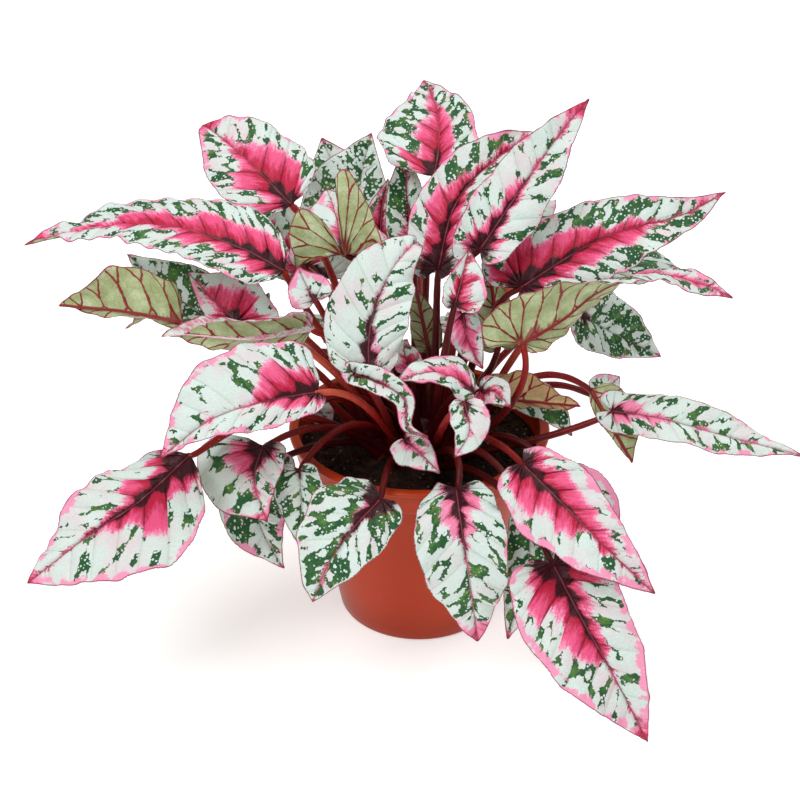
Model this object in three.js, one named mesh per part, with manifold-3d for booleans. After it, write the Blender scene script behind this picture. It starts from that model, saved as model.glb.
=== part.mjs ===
// A rex begonia in a plastic nursery pot.
//
// Millimetres, +Z up. The origin is the middle of the pot's underside and +Y points away from the
// side that the plant is shown from. Each blade is one closed waved sheet over a midrib curve, the
// petioles and the creeping rhizome they grow from are one fused body, and the pot and the potting
// soil are turned shapes.

import * as THREE from 'three';
import { mergeVertices } from 'three/addons/utils/BufferGeometryUtils.js';
import Module from 'manifold-3d';

const wasm = await Module();
wasm.setup();

// ---- driving dimensions ----

// Pot: a 12 cm nursery pot with a deep collar and a turned-out lip.
const POT_HEIGHT = 96;
const POT_RIM_RADIUS = 60;
const POT_BASE_RADIUS = 37;
const POT_COLLAR_RADIUS = 57;
const POT_COLLAR_BOTTOM = 84;
const POT_COLLAR_STEP = 4;
const POT_COLLAR_SLOPE = 2;
const POT_WALL = 1.6;
const POT_FLOOR = 2.4;
const POT_LIP_DEPTH = 2.2;
const POT_SIDES = 32;
const DRAIN_HOLE_RADIUS = 4;
const DRAIN_HOLE_RING = 24;
const DRAIN_HOLE_COUNT = 6;
const DRAIN_HOLE_SIDES = 8;

// Soil: fills the pot to a lumpy top a finger's width below the rim.
const SOIL_TOP = 86;
const SOIL_LUMP = 0.9;
const SOIL_LUMP_TURN = 0.5;
const SOIL_RINGS = [8, 20];
const GAP = 0.45;

// Rhizome: thick knobbly arms that creep over the soil, half sunk in it.
const ARM_COUNT = 9;
const ARM_FIRST_ANGLE = 10;
const ARM_REACH = 25;
const ARM_RADIUS = 5;
const ARM_KNOB = 0.12;
const ARM_HEIGHT = 86;
const ARM_BLUNTNESS = 0.6;
const ARM_TILT = 1;
const ARM_SIDES = 6;
const ARM_STEPS = 3;

// Petioles: one for each blade, tapered, from a root on an arm to the underside of the blade.
const PETIOLE_ROOT_RADIUS = 1.85;
const PETIOLE_TOP_RADIUS = 1.5;
const PETIOLE_TIP_RADIUS = 1.1;
const PETIOLE_SIDES = 5;
const PETIOLE_STEPS = 6;
const ROOT_HEIGHT = 88.3;
const ROOT_FIRST = 5;
const ROOT_LAST = 23;
const ROOT_BESIDE = 1.9;
const ROOTS_ON_FULL_ARM = 9;
const PETIOLE_SEAT = 3.6;
const SEAT_DEPTH = 0.9;
const SEAT_RISE = 0.45;

// Blades: a sheet of even thickness, folded up along the midrib, with waved and scalloped margins.
const BLADE_THICKNESS = 0.8;
const VEIN_SLANT = 0.8;
const WAVE_HEIGHT = 0.03;
const WAVE_COUNT = 2.5;
const WAVE_SIDE_SHIFT = 1.7;
const WAVE_EASE = 2.5;
const SCALLOP = 0.03;
const FIRST_ROW_EGG = 0.2;
const FIRST_ROW_HEART = 0.1;
const HALF_COLUMNS = 2;
const ROWS_LARGE = 10;
const ROWS_MEDIUM = 9;
const ROWS_SMALL = 7;
const LARGE_BLADE = 50;
const SMALL_BLADE = 22;
const HEEL_BEND = 0.1;

// Half outlines from the petiole to the tip, as [along the midrib, out from it] in shares of the
// blade's length and half width: a heart with round basal lobes and a plain egg. A blade mixes them.
const HEART = [
  [0, 0], [-0.10, 0.12], [-0.18, 0.35], [-0.18, 0.64], [-0.08, 0.89], [0.10, 1.00],
  [0.30, 0.95], [0.50, 0.77], [0.70, 0.50], [0.86, 0.23], [1.00, 0],
];
const EGG = [
  [0, 0], [-0.015, 0.15], [0, 0.36], [0.04, 0.62], [0.12, 0.84], [0.25, 0.98],
  [0.41, 1.00], [0.58, 0.87], [0.74, 0.60], [0.88, 0.29], [1.00, 0],
];

// ---- blades of the plant ----

const SILVER = { color: 0xc4d8cb, roughness: 0.55 };
const PINK = { color: 0xd65a86, roughness: 0.55 };
const SPOTTED = { color: 0x7f9f7a, roughness: 0.55 };
const OLIVE = { color: 0x8d9a58, roughness: 0.6 };
const YOUNG = { color: 0xb58a52, roughness: 0.6 };

// Each blade: midrib points from the petiole to the tip, the way its upper face looks, the half
// widths left and right of the midrib, and what differs from the usual leaf:
//   upTip          the way that the upper face looks at the tip, where the blade is twisted
//   fold and curl  the rise beside the midrib and its change out to the margin, in degrees, by side
//   wave           the height of the margin's waves, as a share of the usual height
//   heart, lobe    the share of the heart outline and the lengthening of the basal lobe, by side
//   heel, upHeel   where the basal lobes stand up from the midrib, and the way they look there
//   over           the middle control point of the petiole's arch
//   lift           how far above the blade's base the petiole's arch passes
const LEAVES = [
  {
    tint: SILVER,
    midrib: [[-57, 16, 199], [-77, 32, 213], [-92, 46, 220], [-99, 55, 221]],
    up: [0.1, -0.6, 0.8], width: [21, 24], curl: [-25, -30], heart: [0, 0], over: [-40, 24, 176],
  },
  {
    tint: SPOTTED,
    midrib: [[-31, 48, 166], [-28, 68, 188], [-23, 80, 207]],
    up: [0, -0.8, 0.55], width: [27, 15], over: [-24, 40, 140],
  },
  {
    tint: OLIVE,
    midrib: [[-33, -9, 187], [-38, 16, 196], [-42, 29, 201]],
    up: [0, -0.45, 0.9], width: [24, 20], fold: [2, 2], heart: [1, 1], lobe: [3.1, 5],
    heel: [-0.25, -0.05, 1], upHeel: [0, 1, 0.2],
  },
  {
    tint: PINK,
    midrib: [[6, 32, 206], [8, 46, 213], [8, 62, 221], [5, 78, 227], [1, 86, 231]],
    up: [0, -0.4, 0.92], width: [27, 18], heart: [0, 0.3], over: [2, 46, 170],
  },
  {
    tint: SPOTTED,
    midrib: [[-3, 22, 174], [-6, 40, 191], [-7, 56, 214]],
    up: [0, -0.85, 0.5], width: [11, 9], fold: [20, 20],
  },
  {
    tint: PINK,
    midrib: [[8, 2, 175], [15, 15, 199], [31, 28, 214], [48, 36, 222], [56, 38, 219]],
    up: [-0.2, -0.7, 0.7], width: [18, 11], fold: [15, 25], heart: [0.4, 0.3],
  },
  {
    tint: SILVER,
    midrib: [[26, -4, 187], [43, 9, 209], [60, 19, 231], [73, 27, 245]],
    up: [-0.1, -0.8, 0.6], width: [16, 15], fold: [25, 12], heart: [0.5, 0.3], lobe: [1.3, 1],
  },
  {
    tint: PINK,
    midrib: [[45, 0, 167], [73, 10, 182], [93, 14, 189], [116, 14, 196], [133, 12, 208]],
    up: [0, -0.6, 0.8], width: [25, 21], heart: [1.4, 0.3], lobe: [0.4, 1],
  },
  {
    tint: OLIVE,
    midrib: [[44, -25, 152], [61, -17, 159], [79, -8, 170], [101, -4, 176], [123, -6, 172],
      [137, -10, 167]],
    up: [-0.1, 1, 0.15], upTip: [0, -0.6, 0.8], width: [11, 24], fold: [0, 12],
    heart: [0, 0.8], over: [51, -29, 124],
  },
  {
    tint: SPOTTED,
    midrib: [[77, 58, 123], [99, 67, 106], [119, 70, 94]],
    up: [-0.1, -0.75, 0.6], width: [18, 13],
  },
  {
    tint: PINK,
    midrib: [[-58, -22, 185], [-77, -18, 194], [-102, -12, 200], [-128, -10, 201],
      [-152, -14, 198], [-169, -20, 196]],
    up: [0, -0.5, 0.87], upTip: [0, 0.3, 0.95], width: [20, 24], wave: 0.35,
    heart: [-0.1, -0.1], over: [-46, -8, 150],
  },
  {
    tint: PINK,
    midrib: [[-52, 22, 165], [-71, 36, 176], [-92, 46, 187]],
    up: [0, -0.6, 0.8], width: [10, 22],
  },
  {
    tint: SPOTTED,
    midrib: [[-93, 2, 148], [-115, 12, 159], [-132, 19, 173]],
    up: [0, -0.7, 0.7], width: [10, 18],
  },
  {
    tint: OLIVE,
    midrib: [[-103, -22, 160], [-127, -22, 165], [-156, -24, 169]],
    up: [-0.2, 0.95, 0.2], width: [24, 4], heart: [-0.2, 0], over: [-58, -10, 140],
  },
  {
    tint: PINK,
    midrib: [[-80, -18, 158], [-91, -11, 166], [-102, -5, 176]],
    up: [0.3, -0.7, 0.6], width: [8, 20], heart: [0.5, 1], lobe: [1, 2.2],
  },
  {
    tint: OLIVE,
    midrib: [[-47, -20, 156], [-73, -27, 155], [-100, -27, 157], [-112, -27, 156]],
    up: [0, 0.9, 0.4], width: [22, 13], curl: [-60, -20], wave: 0.5, heart: [0, 0],
  },
  {
    tint: SILVER,
    midrib: [[-43, -56, 145], [-64, -68, 147], [-86, -80, 145], [-107, -88, 131]],
    up: [-0.1, -0.7, 0.7], width: [12, 27], heart: [0.2, 0.2],
  },
  {
    tint: SILVER,
    midrib: [[-98, -62, 117], [-118, -80, 105], [-138, -92, 96], [-164, -104, 79]],
    up: [-0.3, -0.6, 0.75], width: [32, 20], heart: [-0.3, -0.3], lift: 24,
  },
  {
    tint: SILVER,
    midrib: [[-68, -50, 114], [-71, -62, 104], [-65, -74, 91]],
    up: [-0.2, -0.75, 0.6], width: [13, 27],
  },
  {
    tint: SPOTTED,
    midrib: [[-69, -45, 99], [-71, -50, 76], [-60, -58, 55]],
    up: [-0.1, -0.9, 0.4], width: [17, 21], heart: [1.1, 1.1],
  },
  {
    tint: SPOTTED,
    midrib: [[-52, -53, 104], [-51, -60, 90], [-52, -66, 73]],
    up: [0, -0.8, 0.6], width: [10, 12], lift: 22,
  },
  {
    tint: SPOTTED,
    midrib: [[-16, -72, 102], [-29, -88, 95], [-39, -95, 81], [-45, -97, 65]],
    up: [-0.1, -0.8, 0.6], width: [16, 22], heart: [0.2, 0.2],
  },
  {
    tint: SILVER,
    midrib: [[-22, -42, 144], [-21, -32, 165], [-13, -20, 183], [-4, -10, 191], [-1, -1, 189]],
    up: [0.15, -0.85, 0.5], width: [20.5, 16], heart: [0, 0],
  },
  {
    tint: SILVER,
    midrib: [[-28, -48, 149], [-16, -56, 149], [-6, -63, 145], [-5, -68, 135], [4, -70, 131]],
    up: [-0.2, -0.7, 0.7], width: [7, 7], fold: [40, 40], over: [-16, -40, 134],
  },
  {
    tint: PINK,
    midrib: [[23, -42, 137], [14, -42, 145], [2, -44, 148], [-10, -48, 145]],
    up: [0, -0.2, 1], width: [12, 12], heart: [0.3, 0.3],
  },
  {
    tint: SPOTTED,
    midrib: [[19, -60, 143], [21, -67, 132], [15, -70, 121]],
    up: [0, -0.9, 0.4], width: [9, 8], heart: [0.3, 0.3], over: [8, -58, 130],
  },
  {
    tint: PINK,
    midrib: [[27, -26, 129], [34, -30, 130], [40, -34, 125]],
    up: [0, -0.6, 0.8], width: [8, 8],
  },
  {
    tint: YOUNG,
    midrib: [[28, -14, 120], [51, -16, 118], [72, -20, 118]],
    up: [0, 0.9, 0.3], width: [8, 17], heart: [0.2, 0.2],
  },
  {
    tint: PINK,
    midrib: [[-4, -16, 134], [-7, -11, 141], [-6, -6, 144]],
    up: [0, -0.87, 0.5], width: [7, 7],
  },
  {
    tint: PINK,
    midrib: [[15, -24, 170], [18, -18, 180], [21, -12, 191]],
    up: [0, -0.87, 0.5], width: [7, 13], fold: [30, 15], over: [10, -30, 150],
  },
  {
    tint: PINK,
    midrib: [[19, -8, 158], [21, -14, 148], [28, -18, 135]],
    up: [0, -0.87, 0.5], width: [8, 8], fold: [25, 25],
  },
  {
    tint: OLIVE,
    midrib: [[78, 0, 115], [87, -10, 102], [97, -16, 86]],
    up: [0.2, 0.95, -0.2], width: [4, 14], heart: [0, 0], over: [48, -6, 140],
  },
  {
    tint: SILVER,
    midrib: [[85, -28, 120], [106, -36, 121], [137, -44, 116], [167, -52, 112]],
    up: [0, -0.6, 0.8], width: [12, 11], heart: [0.4, 0.4], over: [54, -29, 104],
  },
  {
    tint: PINK,
    midrib: [[44, -68, 117], [60, -84, 108], [78, -98, 95], [99, -106, 77]],
    up: [-0.1, -0.7, 0.7], width: [16, 20], heart: [0.3, 0.3],
  },
  {
    tint: PINK,
    midrib: [[57, -90, 81], [67, -112, 71], [81, -125, 50], [97, -133, 20]],
    up: [0, -0.8, 0.6], width: [20, 25], heart: [0.4, 0.4], over: [38, -64, 114],
  },
  {
    tint: SILVER,
    midrib: [[16, -67, 104], [18, -86, 97], [22, -94, 73], [26, -92, 41]],
    up: [0, -0.8, 0.6], width: [19, 21], heart: [0.1, 0.1], over: [20, -54, 124],
  },
  {
    tint: SILVER,
    midrib: [[-6, -43, 114], [2, -54, 112], [9, -61, 108]],
    up: [0, -0.7, 0.7], width: [7, 10],
  },
  {
    tint: SPOTTED,
    midrib: [[48, -66, 91], [47, -80, 71], [39, -86, 38]],
    up: [0, -0.9, 0.4], width: [11, 11], heart: [0.3, 0.3], lift: 34,
  },
  {
    tint: SILVER,
    midrib: [[64, -45, 94], [77, -50, 87], [88, -55, 71]],
    up: [0, -0.7, 0.7], width: [12, 10], heart: [0.4, 0.4], lift: 24,
  },
  {
    tint: SPOTTED,
    midrib: [[44, 0, 111], [57, -4, 108], [70, -8, 95]],
    up: [0, -0.7, 0.7], width: [10, 7],
  },
  {
    tint: SILVER,
    midrib: [[-46, -21, 117], [-39, -18, 105]],
    up: [0, -0.8, 0.6], width: [6, 6],
  },
  {
    tint: OLIVE,
    midrib: [[37, 20, 127], [32, 34, 158]],
    up: [0, 0.9, 0.3], width: [10, 11], over: [30, 8, 110],
  },
  {
    tint: SILVER,
    midrib: [[83, 8, 107], [88, 14, 109], [93, 18, 112]],
    up: [0, -0.87, 0.5], width: [9, 8], over: [50, 10, 124],
  },
  {
    tint: SILVER,
    midrib: [[-45, -28, 174], [-49, -26, 181], [-52, -24, 188]],
    up: [-0.2, -0.8, 0.6], width: [10, 10], over: [-30, -22, 140],
  },
  {
    tint: PINK,
    midrib: [[0, 58, 150], [4, 86, 158], [8, 120, 146]],
    up: [0, 0.35, 0.95], width: [22, 22],
  },
  {
    tint: SILVER,
    midrib: [[-46, 62, 140], [-62, 86, 146], [-84, 112, 132]],
    up: [-0.2, 0.3, 0.95], width: [22, 22],
  },
  {
    tint: SILVER,
    midrib: [[50, 66, 140], [66, 92, 144], [82, 122, 128]],
    up: [0.2, 0.3, 0.95], width: [22, 22],
  },
  {
    tint: SPOTTED,
    midrib: [[-80, 34, 136], [-112, 48, 134], [-142, 56, 116]],
    up: [-0.3, 0.1, 0.95], width: [20, 22],
  },
  {
    tint: PINK,
    midrib: [[22, 74, 104], [30, 102, 96], [38, 128, 70]],
    up: [0.1, 0.6, 0.8], width: [22, 20],
  },
  {
    tint: SILVER,
    midrib: [[-26, 76, 104], [-38, 104, 96], [-50, 128, 70]],
    up: [-0.1, 0.6, 0.8], width: [22, 20],
  },
  {
    tint: SPOTTED,
    midrib: [[84, 38, 156], [108, 54, 156], [130, 70, 138]],
    up: [0.3, 0.1, 0.95], width: [20, 18],
  },
  {
    tint: PINK,
    midrib: [[-64, 66, 96], [-84, 88, 84], [-100, 104, 58]],
    up: [-0.4, 0.5, 0.8], width: [20, 20], lift: 30,
  },
  {
    tint: SPOTTED,
    midrib: [[-35, 84, 165], [-41, 98, 179], [-48, 108, 193]],
    up: [0, -0.8, 0.6], width: [18, 16], over: [-20, 54, 140],
  },
  {
    tint: PINK,
    midrib: [[38, 40, 170], [50, 62, 178], [62, 84, 172]],
    up: [0.2, 0.2, 0.95], width: [16, 17],
  },
  {
    tint: SILVER,
    midrib: [[-56, 44, 158], [-72, 68, 162], [-92, 92, 154]],
    up: [-0.2, 0.2, 0.95], width: [17, 18],
  },
  {
    tint: PINK,
    midrib: [[-17, 24, 168], [-18, 38, 182], [-15, 50, 197]],
    up: [0, -0.85, 0.5], width: [9, 9], fold: [20, 20],
  },
  {
    tint: OLIVE,
    midrib: [[4, 10, 131], [1, 12, 145], [-2, 14, 160]],
    up: [0, 0.9, 0.2], width: [8, 7],
  },
];
const USUAL_LEAF = { fold: [12, 12], curl: [-20, -20], wave: 1, heart: [0.5, 0.5], lobe: [1, 1] };
// The middle control point of a petiole's arch lies this share of the way out and this far above
// the blade's base: one lift for high or upright blades, which stand over it, and one for the rest.
const ARCH_SHARE = 0.45;
const HIGH_LEAF = 140;
const UPRIGHT_BLADE = 0.3;
const LIFT_HIGH = -8;
const LIFT_LOW = 8;

// The way that the seam of a bent bar faces, which no bar runs along.
const BAR_SEAM = [0.3, 0.9, 0.1];
// Points of a mesh nearer than this are one.
const SAME_POINT = 1e-4;

// ---- small helpers ----

const radians = THREE.MathUtils.degToRad;
const clamp = THREE.MathUtils.clamp;
const vector = (numbers) => new THREE.Vector3(...numbers);

function smoothCurve(points) {
  return new THREE.CatmullRomCurve3(points, false, 'catmullrom', 0.5);
}

function mixed(a, b, share) {
  return a.clone().lerp(b, share);
}

// A closed mesh as a solid that can be joined and cut.
function toSolid(geometry) {
  const bare = geometry.clone();
  bare.deleteAttribute('normal');
  bare.deleteAttribute('uv');
  const merged = mergeVertices(bare, SAME_POINT);
  const index = merged.index.array;
  const corners = [];
  for (let i = 0; i < index.length; i += 3) {
    const [a, b, c] = [index[i], index[i + 1], index[i + 2]];
    if (a !== b && b !== c && c !== a) {
      corners.push(a, b, c);
    }
  }
  const mesh = new wasm.Mesh({
    numProp: 3,
    vertProperties: new Float32Array(merged.attributes.position.array),
    triVerts: new Uint32Array(corners),
  });
  return new wasm.Manifold(mesh);
}

function toGeometry(solid) {
  const mesh = solid.getMesh();
  const geometry = new THREE.BufferGeometry();
  geometry.setAttribute('position', new THREE.BufferAttribute(mesh.vertProperties, 3));
  geometry.setIndex(new THREE.BufferAttribute(mesh.triVerts, 1));
  return geometry;
}

function namedMesh(name, geometry, finish) {
  const material = new THREE.MeshStandardMaterial({ metalness: 0, ...finish });
  geometry.computeVertexNormals();
  const mesh = new THREE.Mesh(geometry, material);
  mesh.name = name;
  return mesh;
}

// A turned shape round the Z axis, from [radius, height] points.
function turned(profile, sides) {
  const geometry = new THREE.LatheGeometry(profile.map(([r, z]) => new THREE.Vector2(r, z)), sides);
  geometry.rotateX(Math.PI / 2);
  return geometry;
}

// A round bar bent along stops; radiusAt gives its radius at each share of the way. The far end is
// cut square to the last stretch, or square to endFacing.
function bentBar(stops, radiusAt, sides, endFacing = null) {
  const steps = stops.length - 1;
  const rings = [];
  let normal = vector(BAR_SEAM);
  for (let step = 0; step <= steps; step += 1) {
    const ahead = stops[Math.min(step + 1, steps)].clone().sub(stops[Math.min(step, steps - 1)]);
    const behind = stops[Math.max(step, 1)].clone().sub(stops[Math.max(step - 1, 0)]);
    const tangent = ahead.normalize().add(behind.normalize()).normalize();
    normal = normal.clone().projectOnPlane(tangent).normalize();
    const binormal = new THREE.Vector3().crossVectors(tangent, normal);
    rings.push({ normal, binormal, radius: radiusAt(step / steps) });
  }
  const bar = new THREE.CylinderGeometry(1, 1, 1, sides, steps);
  const spots = bar.attributes.position;
  for (let i = 0; i < spots.count; i += 1) {
    const step = Math.round((spots.getY(i) + 0.5) * steps);
    const { normal: across, binormal, radius } = rings[step];
    const out = new THREE.Vector3().addScaledVector(across, -spots.getX(i) * radius);
    out.addScaledVector(binormal, spots.getZ(i) * radius);
    if (endFacing && step === steps) {
      out.projectOnPlane(endFacing);
    }
    const place = stops[step].clone().add(out);
    spots.setXYZ(i, place.x, place.y, place.z);
  }
  return bar;
}

// ---- blade surface ----

const OUTLINES = [EGG, HEART].map(
  (points) => smoothCurve(points.map(([x, y]) => new THREE.Vector3(x, y, 0))));

class Blade {
  constructor(leaf) {
    Object.assign(this, USUAL_LEAF, leaf);
    this.curve = smoothCurve(this.midrib.map(vector));
    this.length = this.curve.getLength();
    this.halfWidth = (this.width[0] + this.width[1]) / 2;
    this.upBase = vector(this.up);
    this.upEnd = vector(this.upTip ?? this.up);
    const heart = clamp((this.heart[0] + this.heart[1]) / 2, 0, 1);
    this.firstRow = THREE.MathUtils.lerp(FIRST_ROW_EGG, FIRST_ROW_HEART, heart);
    this.rows = ROWS_MEDIUM;
    if (this.length > LARGE_BLADE) {
      this.rows = ROWS_LARGE;
    }
    if (this.length < SMALL_BLADE) {
      this.rows = ROWS_SMALL;
    }
  }

  // Place, direction, upper side and right side of the midrib at a share of its length. Below zero
  // it goes on straight behind the petiole, or turns up along the heel.
  spine(share) {
    const along = clamp(share, 0, 1);
    const place = this.curve.getPointAt(along);
    const tangent = this.curve.getTangentAt(along);
    const hint = mixed(this.upBase, this.upEnd, along);
    if (share < 0) {
      const back = tangent.clone().negate();
      let way = back;
      if (this.heel) {
        const turn = clamp(-share / HEEL_BEND, 0, 1);
        const heel = vector(this.heel).normalize();
        way = mixed(back, heel, turn);
        hint.lerp(vector(this.upHeel), turn);
      }
      place.addScaledVector(way, -share * this.length);
      tangent.copy(way).negate().normalize();
    }
    const up = hint.addScaledVector(tangent, -hint.dot(tangent)).normalize();
    const right = new THREE.Vector3().crossVectors(tangent, up);
    return { place, tangent, up, right };
  }

  // The margin at u, from the sinus at 0 to the tip at 1: [share of the length, share of the width].
  margin(side, u) {
    const spot = mixed(OUTLINES[0].getPoint(u), OUTLINES[1].getPoint(u), this.heart[side]);
    return [spot.x < 0 ? spot.x * this.lobe[side] : spot.x, Math.max(spot.y, 0)];
  }

  // A point of the middle surface: u runs along the margin, and v from the midrib out to it.
  point(side, u, v) {
    const width = this.width[side];
    const [marginX, marginY] = this.margin(side, u);
    const start = clamp(marginX - VEIN_SLANT * marginY * this.halfWidth / this.length, 0, 1);
    const share = start + (marginX - start) * v;
    const rowsAlong = (this.rows - 1) * (u - this.firstRow) / (1 - this.firstRow);
    const out = marginY * v * (1 + SCALLOP * v * Math.cos(Math.PI * rowsAlong));
    const along = clamp(share, 0, 1);
    const fold = radians(this.fold[side]);
    const bend = radians(this.curl[side]);
    const slope = fold + bend * out;
    const across = (Math.sin(slope) - Math.sin(fold)) / bend * width;
    const wave = Math.sin(2 * Math.PI * WAVE_COUNT * u + this.midrib[0][0] + side * WAVE_SIDE_SHIFT);
    const fade = Math.min(1, WAVE_EASE * marginY) * v * v;
    const lift = WAVE_HEIGHT * this.wave * this.length * wave * fade;
    const rise = (Math.cos(fold) - Math.cos(slope)) / bend * width + lift;
    const { place, up, right } = this.spine(share);
    return place.addScaledVector(right, side === 1 ? across : -across).addScaledVector(up, rise);
  }

  // The middle surface as points and triangles. Points that fall together are one.
  middle() {
    const points = [];
    const known = new Map();
    const grid = [];
    for (let row = 0; row < this.rows; row += 1) {
      const u = THREE.MathUtils.lerp(this.firstRow, 1, row / (this.rows - 1));
      const line = [];
      for (let column = -HALF_COLUMNS; column <= HALF_COLUMNS; column += 1) {
        const spot = this.point(column < 0 ? 0 : 1, u, Math.abs(column) / HALF_COLUMNS);
        const key = spot.toArray().map((n) => n.toFixed(3)).join();
        if (!known.has(key)) {
          known.set(key, points.length);
          points.push(spot);
        }
        line.push(known.get(key));
      }
      grid.push(line);
    }
    const triangles = [];
    const add = (a, b, c) => {
      if (a !== b && b !== c && c !== a) {
        triangles.push([a, b, c]);
      }
    };
    for (let row = 0; row + 1 < this.rows; row += 1) {
      for (let k = 0; k < 2 * HALF_COLUMNS; k += 1) {
        const [a, d] = [grid[row][k], grid[row][k + 1]];
        const [b, c] = [grid[row + 1][k], grid[row + 1][k + 1]];
        if (k < HALF_COLUMNS) {
          add(a, d, c);
          add(a, c, b);
        } else {
          add(a, d, b);
          add(d, c, b);
        }
      }
    }
    return { points, triangles };
  }

  // The closed sheet: the middle surface moved out to both sides along its normals, with a rim.
  sheet(thickness) {
    const { points, triangles } = this.middle();
    const normals = points.map(() => new THREE.Vector3());
    const edges = new Set();
    for (const [a, b, c] of triangles) {
      const face = new THREE.Triangle(points[a], points[b], points[c]);
      const area = face.getArea();
      const normal = face.getNormal(new THREE.Vector3());
      for (const corner of [a, b, c]) {
        normals[corner].addScaledVector(normal, area);
      }
      edges.add(`${a} ${b}`);
      edges.add(`${b} ${c}`);
      edges.add(`${c} ${a}`);
    }
    normals.forEach((normal) => normal.normalize());
    const count = points.length;
    const index = [];
    for (const [a, b, c] of triangles) {
      index.push(a, b, c, count + a, count + c, count + b);
      for (const [p, q] of [[a, b], [b, c], [c, a]]) {
        if (!edges.has(`${q} ${p}`)) {
          index.push(q, p, count + p, q, count + p, count + q);
        }
      }
    }
    const moved = [1, -1].map((side) => points.map(
      (spot, i) => spot.clone().addScaledVector(normals[i], side * thickness / 2)));
    const geometry = new THREE.BufferGeometry().setFromPoints(moved.flat());
    geometry.setIndex(index);
    return geometry;
  }

  // The petiole's stops: an arch from its root on the rhizome, then up to the blade's underside.
  petioleStops(root) {
    const base = this.curve.getPoint(0);
    const { tangent, up } = this.spine(0);
    const upright = base.z > HIGH_LEAF || tangent.z > UPRIGHT_BLADE;
    const lift = this.lift ?? (upright ? LIFT_HIGH : LIFT_LOW);
    const arch = mixed(root, base, ARCH_SHARE).setZ(base.z + lift);
    const bend = this.over ? vector(this.over) : arch;
    const top = base.clone().addScaledVector(up, -SEAT_DEPTH - BLADE_THICKNESS / 2);
    const way = top.clone().sub(bend).normalize();
    way.addScaledVector(up, Math.max(0, SEAT_RISE - way.dot(up))).normalize();
    const seat = top.clone().addScaledVector(way, -PETIOLE_SEAT);
    const arched = new THREE.QuadraticBezierCurve3(root, bend, seat);
    return [...arched.getPoints(PETIOLE_STEPS - 1), top];
  }
}

// ---- rhizome and petioles ----

function armWay(number) {
  const angle = radians(ARM_FIRST_ANGLE + 360 * number / ARM_COUNT);
  return new THREE.Vector3(Math.cos(angle), Math.sin(angle), 0);
}

// Petioles grow from the arm that points their way, in two ranks along it, the far blades outermost.
function petioleRoots(blades) {
  const crowded = Array.from({ length: ARM_COUNT }, () => []);
  blades.forEach((blade, i) => {
    const [x, y] = blade.midrib[0];
    const turns = (Math.atan2(y, x) - radians(ARM_FIRST_ANGLE)) / (2 * Math.PI);
    const number = THREE.MathUtils.euclideanModulo(Math.round(turns * ARM_COUNT), ARM_COUNT);
    crowded[number].push({ i, reach: Math.hypot(x, y) });
  });
  const roots = [];
  crowded.forEach((members, number) => {
    const way = armWay(number);
    const beside = new THREE.Vector3(-way.y, way.x, 0);
    members.sort((a, b) => a.reach - b.reach);
    members.forEach(({ i }, rank) => {
      const inwards = (members.length - 1 - rank) / (ROOTS_ON_FULL_ARM - 1);
      const far = THREE.MathUtils.lerp(ROOT_LAST, ROOT_FIRST, inwards);
      const root = way.clone().multiplyScalar(far).setZ(ROOT_HEIGHT);
      roots[i] = root.addScaledVector(beside, rank % 2 === 0 ? ROOT_BESIDE : -ROOT_BESIDE);
    });
  });
  return roots;
}

function rhizomeArm(number, extra) {
  const way = armWay(number);
  const start = way.clone().multiplyScalar(-ARM_RADIUS).setZ(ARM_HEIGHT - ARM_TILT);
  const end = way.clone().multiplyScalar(ARM_REACH + extra).setZ(ARM_HEIGHT);
  const knobbly = (share) => {
    const blunt = share === 0 || share === 1 ? ARM_BLUNTNESS : 1;
    const knob = 1 + ARM_KNOB * Math.cos(Math.PI * ARM_STEPS * share + number);
    return (ARM_RADIUS + extra) * blunt * knob;
  };
  return toSolid(bentBar(new THREE.LineCurve3(start, end).getPoints(ARM_STEPS), knobbly, ARM_SIDES));
}

function petiole(blade, root) {
  const radius = (share) => {
    if (share === 1) {
      return PETIOLE_TIP_RADIUS;
    }
    return PETIOLE_ROOT_RADIUS + (PETIOLE_TOP_RADIUS - PETIOLE_ROOT_RADIUS) * share;
  };
  const { up } = blade.spine(0);
  return toSolid(bentBar(blade.petioleStops(root), radius, PETIOLE_SIDES, up));
}

function largestPiece(solid) {
  return solid.decompose().reduce((a, b) => (a.volume() > b.volume() ? a : b));
}

// All petioles fused with the rhizome. Each ends a gap below its blade.
function shoots(blades) {
  let body = rhizomeArm(0, 0);
  for (let number = 1; number < ARM_COUNT; number += 1) {
    body = body.add(rhizomeArm(number, 0));
  }
  const roots = petioleRoots(blades);
  blades.forEach((blade, i) => {
    body = body.add(petiole(blade, roots[i]));
  });
  return toGeometry(body);
}

// ---- pot and soil ----

const SHOULDER = POT_COLLAR_BOTTOM - POT_COLLAR_SLOPE;

function wallRadius(z) {
  const slope = (POT_COLLAR_RADIUS - POT_COLLAR_STEP - POT_BASE_RADIUS) / SHOULDER;
  return POT_BASE_RADIUS + slope * z;
}

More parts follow.
